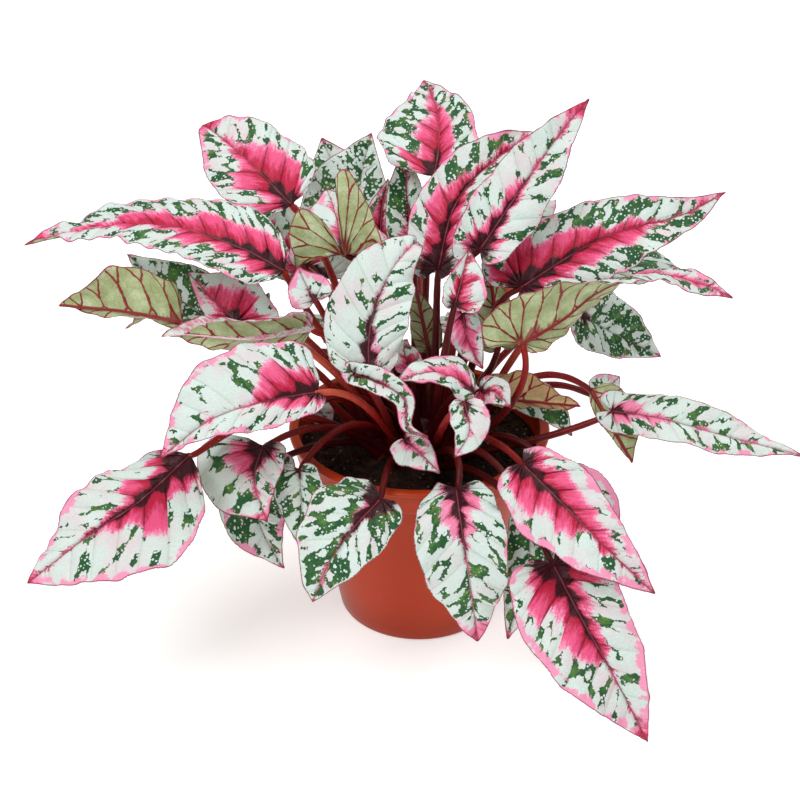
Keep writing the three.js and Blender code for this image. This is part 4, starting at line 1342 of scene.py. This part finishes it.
    def shell(self) -> Shell:
        """The closed sheet.

        The middle surface first gets its relief along its normals: puckers between the side veins,
        as the root of a sine, a groove over the midrib, as a bell curve, and small blisters, as
        noise. It is then moved out to both faces, and the lower face gets a rib under the midrib,
        as a bell curve that fades to the tip.

        Returns:
            The sheet, the upper skin numbered 0 and the underside 1.
        """
        points, triangles = self.middle()
        v, out = points["v"], points["v"] * points["reach"]
        between = np.sqrt(np.abs(np.sin(np.pi * points["rank"])) + 0.02)
        flank = smoothstep(0.0, 3.0, out) * (1 - self.pucker_fading * v**3)
        small = min(1, self.half_width / self.pucker_width)
        relief = self.pucker * (between - self.pucker_mean) * flank * small
        relief -= self.midrib_groove * np.exp(-((out / self.rib_width) ** 2))
        x = points["share"] * self.length / self.blister_size + self.blister_start
        y = points["across"] / self.blister_size + self.blister_start
        relief += self.blister * lattice_noise(x, y, self.number)
        place = points["place"]
        place = place + vertex_normals(place, triangles) * relief[:, None]
        normals = vertex_normals(place, triangles)
        half = self.thickness / 2 * (1 - self.margin_thinning * v**6)
        fade = np.clip(1 - points["share"], 0.1, 1)
        rib = self.rib_depth * fade * np.exp(-((out / self.rib_width) ** 2))
        upper = place + normals * half[:, None]
        lower = place - normals * (half + rib)[:, None]
        count = len(place)
        ends = np.vstack([triangles[:, [0, 1]], triangles[:, [1, 2]], triangles[:, [2, 0]]])
        code, turned_code = ends @ (count, 1), ends @ (1, count)
        p, q = ends[~np.isin(code, turned_code)].T
        rim = np.vstack([np.stack([q, p, p + count], 1), np.stack([q, p + count, q + count], 1)])
        below = triangles[:, [0, 2, 1]] + count
        finish = np.repeat([0, 1, 0], [len(triangles), len(below), len(rim)])
        one_face = self.layers(points)
        layers = {name: np.vstack([values, values]) for name, values in one_face.items()}
        return Shell(np.vstack([upper, lower]), np.vstack([triangles, below, rim]), finish, layers)


@dataclass
class Foliage:
    """All the blades, each in place of its own solid."""

    upper: UpperSkin = UpperSkin()
    under: UnderSkin = UnderSkin()

    def build(self) -> list[bpy.types.Object]:
        """Makes every blade and hides the solid that it stands for.

        Returns:
            The blades' pieces.
        """
        skins = [self.upper.material(), self.under.material()]
        pieces = []
        for number, leaf in enumerate(LEAVES, start=1):
            piece = Blade(leaf, number).shell().piece(f"blade_{number:02d}", skins)
            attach(piece, BODY)
            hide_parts(f"leaf_blade_{number:02d}")
            pieces.append(piece)
        return pieces


@dataclass
class Shoots:
    """The rhizome's arms on the soil, and a petiole from them to each blade, in millimetres.

    Angles are in degrees. root_first and root_last are how far out a full arm's petioles grow, and
    root_beside how far beside its middle. seat is the length of the last rise, seat_depth how far
    below the blade it ends and seat_rise the least slope that it has. A petiole whose blade is
    above high_leaf, or whose midrib rises more than upright_blade, passes lift_high above the
    blade's base, and any other lift_low. Its tone is mostly painted light and shade: painted shade
    low down and in the middle of the clump, lighter from dark_height up to pale_height, and fullest
    on the lit blades beyond far_reach. own_tone is what the petioles' tones differ by at random, and
    near_light_share the share of the painted light that the near ones keep. knob and bump are shares
    of an arm's radius.
    """

    arm_count: int = 9
    first_angle: float = 10
    arm_reach: float = 25
    arm_radius: float = 5
    arm_height: float = 86
    root_height: float = 87.6
    root_first: float = 5
    root_last: float = 23
    root_beside: float = 1.9
    root_radius: float = 1.95
    top_radius: float = 1.35
    collar_radius: float = 2.7
    seat: float = 3.6
    seat_depth: float = 1.3
    seat_rise: float = 0.45
    high_leaf: float = 140
    upright_blade: float = 0.3
    lift_high: float = -8
    lift_low: float = 8
    arch_share: float = 0.45
    sides: int = 12
    dark_height: float = 92
    pale_height: float = 150
    near_reach: float = 35
    far_reach: float = 85
    full_arm: int = 9
    stem_stops: int = 30
    rounding: int = 3
    collar_share: float = 0.05
    join_depth: float = 0.2
    join_ahead: float = 1.2
    swelling: float = 0.03
    swellings: float = 41
    own_tone: float = 0.15
    near_light_share: float = 0.15
    arm_stops: int = 40
    arm_sides: int = 24
    arm_tone: float = 0.3
    arm_sway: float = 0.6
    arm_sink: float = 0.5
    end_power: int = 12
    end_share: float = 0.02
    knob: float = 0.10
    bump: float = 0.07
    bump_scale: tuple[float, float] = (11, 2.2)
    girth: float = 0.95

    def arm_way(self, number: int) -> Array:
        """The direction of an arm, evenly spaced round the pot."""
        angle = math.radians(self.first_angle + 360 * number / self.arm_count)
        return np.array([math.cos(angle), math.sin(angle), 0])

    def roots(self, blades: list[Blade]) -> list[Array]:
        """Where each petiole leaves the rhizome.

        A blade's petiole grows from the arm that points its way, in two ranks along the arm, with
        the blades that reach furthest on the outside.

        Args:
            blades: The blades.

        Returns:
            A point for each blade.
        """
        bases = np.array([blade.stops[0] for blade in blades])
        step = 2 * np.pi / self.arm_count
        angle = np.arctan2(bases[:, 1], bases[:, 0]) - math.radians(self.first_angle)
        arm = np.floor(angle / step + 0.5).astype(int) % self.arm_count
        reach = np.hypot(bases[:, 0], bases[:, 1])
        roots = [np.zeros(3)] * len(blades)
        for number in range(self.arm_count):
            way = self.arm_way(number)
            beside = np.array([-way[1], way[0], 0])
            members = sorted(np.flatnonzero(arm == number), key=lambda i: reach[i])
            for rank, i in enumerate(members):
                inward = (len(members) - 1 - rank) / (self.full_arm - 1)
                far = self.root_last + (self.root_first - self.root_last) * inward
                aside = self.root_beside if rank % 2 == 0 else -self.root_beside
                roots[i] = way * far + beside * aside + (0, 0, self.root_height)
        return roots

    def petiole(self, blade: Blade, root: Array) -> Shell:
        """An arch from the rhizome to the underside of a blade.

        It is a quadratic Bezier curve that ends in a short rise to the blade, rounded where they
        join, with a round section that is thick at the root and flares a little under the blade.

        Args:
            blade: The blade that it carries.
            root: Where it starts.

        Returns:
            The petiole.
        """
        leaf = blade.leaf
        base = blade.stops[0]
        _, ahead, up, _ = (part[0] for part in blade.spine(np.zeros(1)))
        upright = base[2] > self.high_leaf or ahead[2] > self.upright_blade
        usual_lift = self.lift_high if upright else self.lift_low
        lift = usual_lift if leaf.lift is None else leaf.lift
        arch = root + (base - root) * self.arch_share
        arch[2] = base[2] + lift
        bend = np.array(leaf.over, float) if leaf.over else arch
        top = base - up * self.seat_depth
        way = unit(top - bend)
        way = unit(way + up * max(0, self.seat_rise - way @ up))
        seat = top - way * self.seat
        stem = bezier(root, bend, seat, self.stem_stops)
        join = base - up * self.join_depth + ahead * self.join_ahead
        path = relaxed(np.vstack([stem, (seat + top) / 2, top, join]), self.rounding)
        share = np.linspace(0, 1, len(path))
        radius = self.root_radius + (self.top_radius - self.root_radius) * share
        collar = np.exp(-((share / self.collar_share) ** 2))
        radius += (self.collar_radius - self.root_radius) * collar
        radius *= 1 + self.swelling * np.sin(share * self.swellings + blade.number)
        radius[-2:] *= (0.85, 0.5)
        side = np.cross(bend - root, seat - bend)
        if np.linalg.norm(side) < 1:
            side = np.array([1.0, 0.2, 0.1])
        stem = tube(path, radius[:, None], unit(side), self.sides)
        # Painted light and shade: the tone rises from dark low down to pale up high, and the
        # petioles near the middle keep little of it, as the clump shades them; own adds a random
        # tone of each.
        tone = smoothstep(self.dark_height, self.pale_height, stem.points[:, 2])
        far = smoothstep(self.near_reach, self.far_reach, np.hypot(base[0], base[1]))
        own = np.random.default_rng(blade.number).uniform(-self.own_tone, self.own_tone)
        layer = np.zeros((len(tone), 3))
        layer[:, 0] = tone * (self.near_light_share + (1 - self.near_light_share) * far) + own
        layer[:, 1] = blade.number
        return replace(stem, layers={"stalk": layer})

    def arm(self, number: int) -> Shell:
        """A creeping arm: a knobbly bar with rounded ends, swollen where petioles have left it.

        Its radius is the twelfth-power oval of the way along, times knobs: a sine along the arm and
        noise along and round it. A sine lifts its middle line.

        Args:
            number: The arm's number.

        Returns:
            The arm.
        """
        way = self.arm_way(number)
        share = np.linspace(0, 1, self.arm_stops)
        far = -self.arm_radius + (self.arm_reach + self.arm_radius) * share
        path = way * far[:, None] + (0, 0, self.arm_height)
        path[:, 2] += self.arm_sway * np.sin(share * 9 + number) - self.arm_sink
        oval = np.sqrt(np.clip(1 - (2 * share - 1) ** self.end_power, 0.0, 1))
        round_end = oval * (1 - self.end_share) + self.end_share
        angle = np.linspace(0, 2 * np.pi, self.arm_sides, endpoint=False)
        knobs = self.knob * np.sin(share * 3 * np.pi + number)[:, None]
        along, around = self.bump_scale
        x, y = angle * around + 7 * number, share[:, None] * along
        knobs = knobs + self.bump * lattice_noise(x, y, 5)
        radius = self.arm_radius * round_end[:, None] * (self.girth + knobs)
        arm = tube(path, radius, np.array([0.0, 0.0, 1.0]), self.arm_sides)
        layer = np.full((len(arm.points), 3), (self.arm_tone, number, 0.0))
        return replace(arm, layers={"stalk": layer})

    def build(self) -> list[bpy.types.Object]:
        """Makes the rhizome and the petioles, which stand for one fused solid.

        Returns:
            The two pieces.
        """
        blades = [Blade(leaf, number) for number, leaf in enumerate(LEAVES, start=1)]
        roots = self.roots(blades)
        petioles = merged([self.petiole(blade, root) for blade, root in zip(blades, roots)])
        rhizome = merged([self.arm(number) for number in range(self.arm_count)])
        bark = StalkSkin("begonia_rhizome_skin", red=paint(88, 34, 26), orange=paint(132, 84, 56))
        pieces = [
            petioles.piece("petioles", [StalkSkin("begonia_petiole_skin").material()]),
            rhizome.piece("rhizome", [bark.material()]),
        ]
        for piece in pieces:
            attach(piece, BODY)
            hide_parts("rhizome_and_petioles")
        return pieces


@dataclass
class NurseryPot:
    """A thin moulded pot: a tapered wall, a deeper collar, a rolled lip and drainage holes.

    Sizes are in millimetres.
    """

    height: float = 96
    rim_radius: float = 60
    base_radius: float = 37
    collar_radius: float = 57
    collar_bottom: float = 84
    shoulder_depth: float = 2
    shoulder_step: float = 4
    wall: float = 1.6
    floor: float = 2.4
    lip_depth: float = 2.2
    hole_radius: float = 4
    hole_ring: float = 24
    hole_count: int = 6
    hole_sides: int = 32
    sides: int = 144

    @property
    def shoulder(self) -> float:
        """The height where the tapered wall turns out to the collar."""
        return self.collar_bottom - self.shoulder_depth

    @property
    def mouth(self) -> float:
        """The inner radius of the collar."""
        return self.collar_radius - self.wall

    def wall_radius(self, z: float) -> float:
        """The outer radius of the tapered wall at a height."""
        top = self.collar_radius - self.shoulder_step
        return self.base_radius + (top - self.base_radius) / self.shoulder * z

    def inside_radius(self, z: float) -> float:
        """The inner radius of the tapered wall at a height."""
        return self.wall_radius(z) - self.wall

    def profile(self) -> list[tuple[float, float]]:
        """The wall's section, from the middle of the underside round to the middle of the floor.

        Returns:
            Its points, as (radius, height).
        """
        base, collar, bottom = self.base_radius, self.collar_radius, self.collar_bottom
        shoulder, mouth, top = self.shoulder, self.mouth, self.height
        lip, lip_radius = self.height - self.lip_depth, self.rim_radius
        foot = [(0, 0.0), (30, 0.0), (base - 4, 0.0), (base - 3, 0.0), (base - 1.0, 0.15),
                (base - 0.2, 0.9)]
        outside = [(self.wall_radius(z), z) for z in np.linspace(2, shoulder - 1, 16)]
        outside += [(self.wall_radius(shoulder), shoulder), (collar - 1.2, bottom - 0.6),
                    (collar - 0.2, bottom), (collar, bottom + 0.9), (collar, lip - 0.8),
                    (collar + 0.3, lip - 0.1)]
        rim = [(lip_radius - 0.8, lip), (lip_radius - 0.2, lip + 0.3), (lip_radius, lip + 1),
               (lip_radius - 0.25, top - 0.5), (lip_radius - 0.9, top), (mouth + 0.8, top),
               (mouth + 0.15, top - 0.3), (mouth, top - 0.9)]
        inside = [(mouth, bottom + 0.5), (mouth - 0.8, bottom - 0.4),
                  (self.inside_radius(shoulder), shoulder - 0.6)]
        inside += [(self.inside_radius(z), z)
                   for z in np.linspace(shoulder - 3, self.floor + 2, 10)]
        inside += [(self.inside_radius(self.floor) - 1, self.floor + 0.3),
                   (base - 5, self.floor), (30, self.floor), (0, self.floor)]
        return foot + outside + rim + inside

    def build(self) -> list[bpy.types.Object]:
        """Turns the pot, drills its drainage holes and dresses it.

        Returns:
            The pot's one piece.
        """
        pot = turned(self.profile(), self.sides).piece("nursery_pot", [PotPlastic().material()])
        drills = []
        for number in range(self.hole_count):
            angle = 2 * np.pi * number / self.hole_count
            place = np.array([math.cos(angle), math.sin(angle), 0]) * self.hole_ring
            path = place + np.array([[0, 0, -self.floor], [0, 0, 2 * self.floor]])
            radius = np.full((2, 1), self.hole_radius)
            drills.append(tube(path, radius, np.array([1.0, 0, 0]), self.hole_sides))
        cutter = merged(drills).piece("drill", [])
        cut = pot.modifiers.new("drainage", "BOOLEAN")
        cut.object = cutter
        cut.operation = "DIFFERENCE"
        cut.solver = "EXACT"
        evaluated = pot.evaluated_get(bpy.context.evaluated_depsgraph_get())
        drilled = bpy.data.meshes.new_from_object(evaluated)
        pot.modifiers.clear()
        pot.data = drilled
        bpy.data.objects.remove(cutter)
        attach(pot, BODY)
        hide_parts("pot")
        return [pot]


@dataclass
class PottingSoil:
    """The soil: a plug that fills the pot, with a crumbly top and loose clods and fibres on it.

    Sizes are in millimetres. The top's mean lies sink below top. swell, lump and crumb are heights,
    and brim_depth is how far the top falls over the last brim_width to the pot.
    """

    pot: NurseryPot
    top: float = 86
    gap: float = 0.45
    sink: float = 0.4
    swell: float = 0.6
    lump: float = 0.9
    lump_size: float = 5.5
    crumb: float = 0.7
    crumb_size: float = 1.9
    noise_start: float = 30
    chamfer_width: float = 0.4
    chamfer_depth: float = 1.6
    brim_depth: float = 1.2
    brim_width: float = 4
    sides: int = 200
    ring_count: int = 84
    clod_count: int = 260
    fibre_count: int = 70
    clod_sizes: tuple[float, float] = (0.6, 1.9)
    clod_sides: int = 5
    fibre_lengths: tuple[float, float] = (3, 8)
    fibre_radii: tuple[float, float] = (0.2, 0.45)
    fibre_bend: float = 4
    fibre_stops: int = 6
    fibre_lift: float = 0.3
    bare_border: float = 9
    seed: int = 7

    def surface_height(self, x: Array, y: Array) -> Array:
        """The top's height: long swells, as sines, and lumps and crumbs, as noise of two sizes.

        Args:
            x: Places on the soil.
            y: The same, across.

        Returns:
            The height at each place.
        """
        start = self.noise_start
        swell = np.sin(x * 0.053 + 1.3) * np.cos(y * 0.047 + x * 0.02)
        lumps = lattice_noise(x / self.lump_size + start, y / self.lump_size + start, 11)
        crumbs = lattice_noise(x / self.crumb_size + start, y / self.crumb_size + start, 12)
        high = self.top - self.sink + self.swell * swell
        return high + self.lump * lumps + self.crumb * crumbs

    def plug(self) -> Shell:
        """The turned plug, its top rings moved to the surface's height.

        Returns:
            The plug.
        """
        pot, low = self.pot, self.pot.floor + self.gap
        outer = pot.mouth - self.gap
        profile = [(0, low), (pot.inside_radius(low) - self.gap - 1, low)]
        profile += [(pot.inside_radius(z) - self.gap, z) for z in (low + 2, 40, pot.shoulder - 1)]
        profile += [(outer - 1.5, pot.collar_bottom), (outer, self.top - self.chamfer_depth)]
        rings = np.linspace(outer - self.chamfer_width, 0, self.ring_count)
        profile += [(float(radius), self.top) for radius in rings]
        plug = turned(profile, self.sides)
        upper = plug.points[:, 2] > self.top - 0.1
        x, y = plug.points[upper, 0], plug.points[upper, 1]
        inset = smoothstep(0, self.brim_width, outer - np.hypot(x, y))
        brim = self.top - self.brim_depth
        plug.points[upper, 2] = brim + (self.surface_height(x, y) - brim) * inset
        return plug

    def clod(self, place: Array, size: float, rng: np.random.Generator) -> Shell:
        """A lump of few faces: a short bar of uneven rings.

        Args:
            place: Its middle.
            size: Half its length.
            rng: What is random about it.

        Returns:
            The lump.
        """
        lean = unit(rng.normal(size=3) * (1, 1, 0.5))
        path = place + lean * np.linspace(-size, size, 4)[:, None]
        uneven = rng.uniform(0.7, 1.1, (4, self.clod_sides))
        radius = size * np.array([[0.5], [0.95], [0.9], [0.45]]) * uneven
        return tube(path, radius, unit(np.cross(lean, rng.normal(size=3))), self.clod_sides)

    def fibre(self, place: Array, rng: np.random.Generator) -> Shell:
        """A bent shred of bark or root lying on the soil: a bar along part of a parabola.

        Args:
            place: Its middle.
            rng: What is random about it.

        Returns:
            The shred.
        """
        turn, length = rng.uniform(0, 2 * np.pi), rng.uniform(*self.fibre_lengths)
        way = np.array([math.cos(turn), math.sin(turn), 0])
        share = np.linspace(-0.5, 0.5, self.fibre_stops)
        path = place + way * length * share[:, None]
        bend = rng.uniform(-self.fibre_bend, self.fibre_bend)
        path[:, :2] += np.outer(share**2 * bend, (-way[1], way[0]))
        path[:, 2] = self.surface_height(path[:, 0], path[:, 1]) + self.fibre_lift
        radius = np.full((self.fibre_stops, 1), rng.uniform(*self.fibre_radii))
        return tube(path, radius, np.array([0, 0, 1.0]), self.clod_sides)

    def build(self) -> list[bpy.types.Object]:
        """Makes the plug and what lies on it.

        Returns:
            The two pieces.
        """
        rng = np.random.default_rng(self.seed)
        count = self.clod_count + self.fibre_count
        radius = (self.pot.collar_radius - self.bare_border) * np.sqrt(rng.uniform(0, 1, count))
        angle = rng.uniform(0, 2 * np.pi, count)
        x, y = radius * np.cos(angle), radius * np.sin(angle)
        places = np.stack([x, y, self.surface_height(x, y)], 1)
        sizes = rng.uniform(*self.clod_sizes, count)
        clods = [self.clod(place, size, rng)
                 for place, size in zip(places[:self.clod_count], sizes)]
        fibres = [self.fibre(place, rng) for place in places[self.clod_count:]]
        mix = PottingMix().material()
        pieces = [self.plug().piece("potting_soil", [mix]),
                  merged(clods + fibres).piece("soil_crumbs", [mix])]
        for piece in pieces:
            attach(piece, BODY)
            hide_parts("soil")
        return pieces


@dataclass
class Studio:
    """A plain pale floor, soft white light and the camera at the photograph's place.

    Places and sizes are in metres, turns in degrees, the lens and sensor in millimetres.
    """

    floor_half: float = 10.0
    front_place: Point = (-0.7, -1.1, 1.5)
    front_size: float = 0.8
    front_watts: float = 19
    top_place: Point = (0.5, 0.3, 1.6)
    top_size: float = 1.1
    top_watts: float = 13
    plant_middle: Point = (0, 0, 0.12)
    camera_place: Point = (0.0, -0.76826, 0.5505)
    camera_turn: Point = (60.11, 0.0, 0.66)
    lens: float = 87.255
    sensor: float = 36.0
    world_strength: float = 0.55
    paper_glow: float = 0.45
    paper: Colour = (0.8, 0.8, 0.8, 1.0)
    paper_shade: Colour = (0.78, 0.78, 0.78, 1.0)
    white: Colour = (1, 1, 1, 1)

    def floor(self) -> None:
        """Lays the floor, a flat square."""
        side = self.floor_half
        mesh = bpy.data.meshes.new("studio_floor")
        mesh.from_pydata([(-side, -side, 0), (side, -side, 0), (side, side, 0), (-side, side, 0)],
                         [], [(0, 1, 2, 3)])
        f = Finish("studio_paper")
        tone = f.mix(f.noise(f.place(), 3.0).rise(-0.5, 0.5), self.paper, self.paper_shade)
        paper = f.dress(Base_Color=tone, Roughness=0.9, Specular_IOR_Level=0.1,
                        Emission_Color=self.white, Emission_Strength=self.paper_glow)
        mesh.materials.append(paper)
        floor = bpy.data.objects.new("studio_floor", mesh)
        bpy.context.scene.collection.objects.link(floor)

    def soft_light(self, name: str, place: Point, size: float, watts: float) -> None:
        """Hangs a square lamp that looks at the middle of the plant.

        Args:
            name: Its name.
            place: Where it hangs.
            size: The length of its side.
            watts: Its power.
        """
        lamp = bpy.data.lights.new(name, "AREA")
        lamp.size = size
        lamp.energy = watts
        lit = bpy.data.objects.new(name, lamp)
        lit.location = place
        aim = Vector(self.plant_middle) - lit.location
        lit.rotation_euler = aim.to_track_quat("-Z", "Y").to_euler()
        bpy.context.scene.collection.objects.link(lit)

    def build(self) -> None:
        """Sets the floor, the lights, the world and the camera."""
        self.floor()
        self.soft_light("front_softbox", self.front_place, self.front_size, self.front_watts)
        self.soft_light("top_softbox", self.top_place, self.top_size, self.top_watts)
        scene = bpy.context.scene
        world = bpy.data.worlds.new("studio_world")
        world.use_nodes = True
        shade = world.node_tree.nodes["Background"]
        shade.inputs["Color"].default_value = self.white
        shade.inputs["Strength"].default_value = self.world_strength
        scene.world = world
        scene.view_settings.view_transform = "Standard"
        camera = bpy.data.objects.new("camera", bpy.data.cameras.new("camera"))
        camera.data.lens = self.lens
        camera.data.sensor_width = self.sensor
        camera.location = self.camera_place
        camera.rotation_euler = [math.radians(turn) for turn in self.camera_turn]
        scene.collection.objects.link(camera)
        scene.camera = camera


def main() -> None:
    """Builds every sub-assembly in order, logs each piece's face count and sets up the studio."""
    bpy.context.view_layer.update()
    pot = NurseryPot()
    for assembly in (pot, PottingSoil(pot), Shoots(), Foliage()):
        for piece in assembly.build():
            faces = len(piece.data.polygons)
            log.info("%s: %s, %d faces", type(assembly).__name__, piece.name, faces)
    Studio().build()
    bpy.context.view_layer.update()


if __name__ == "__main__":
    main()
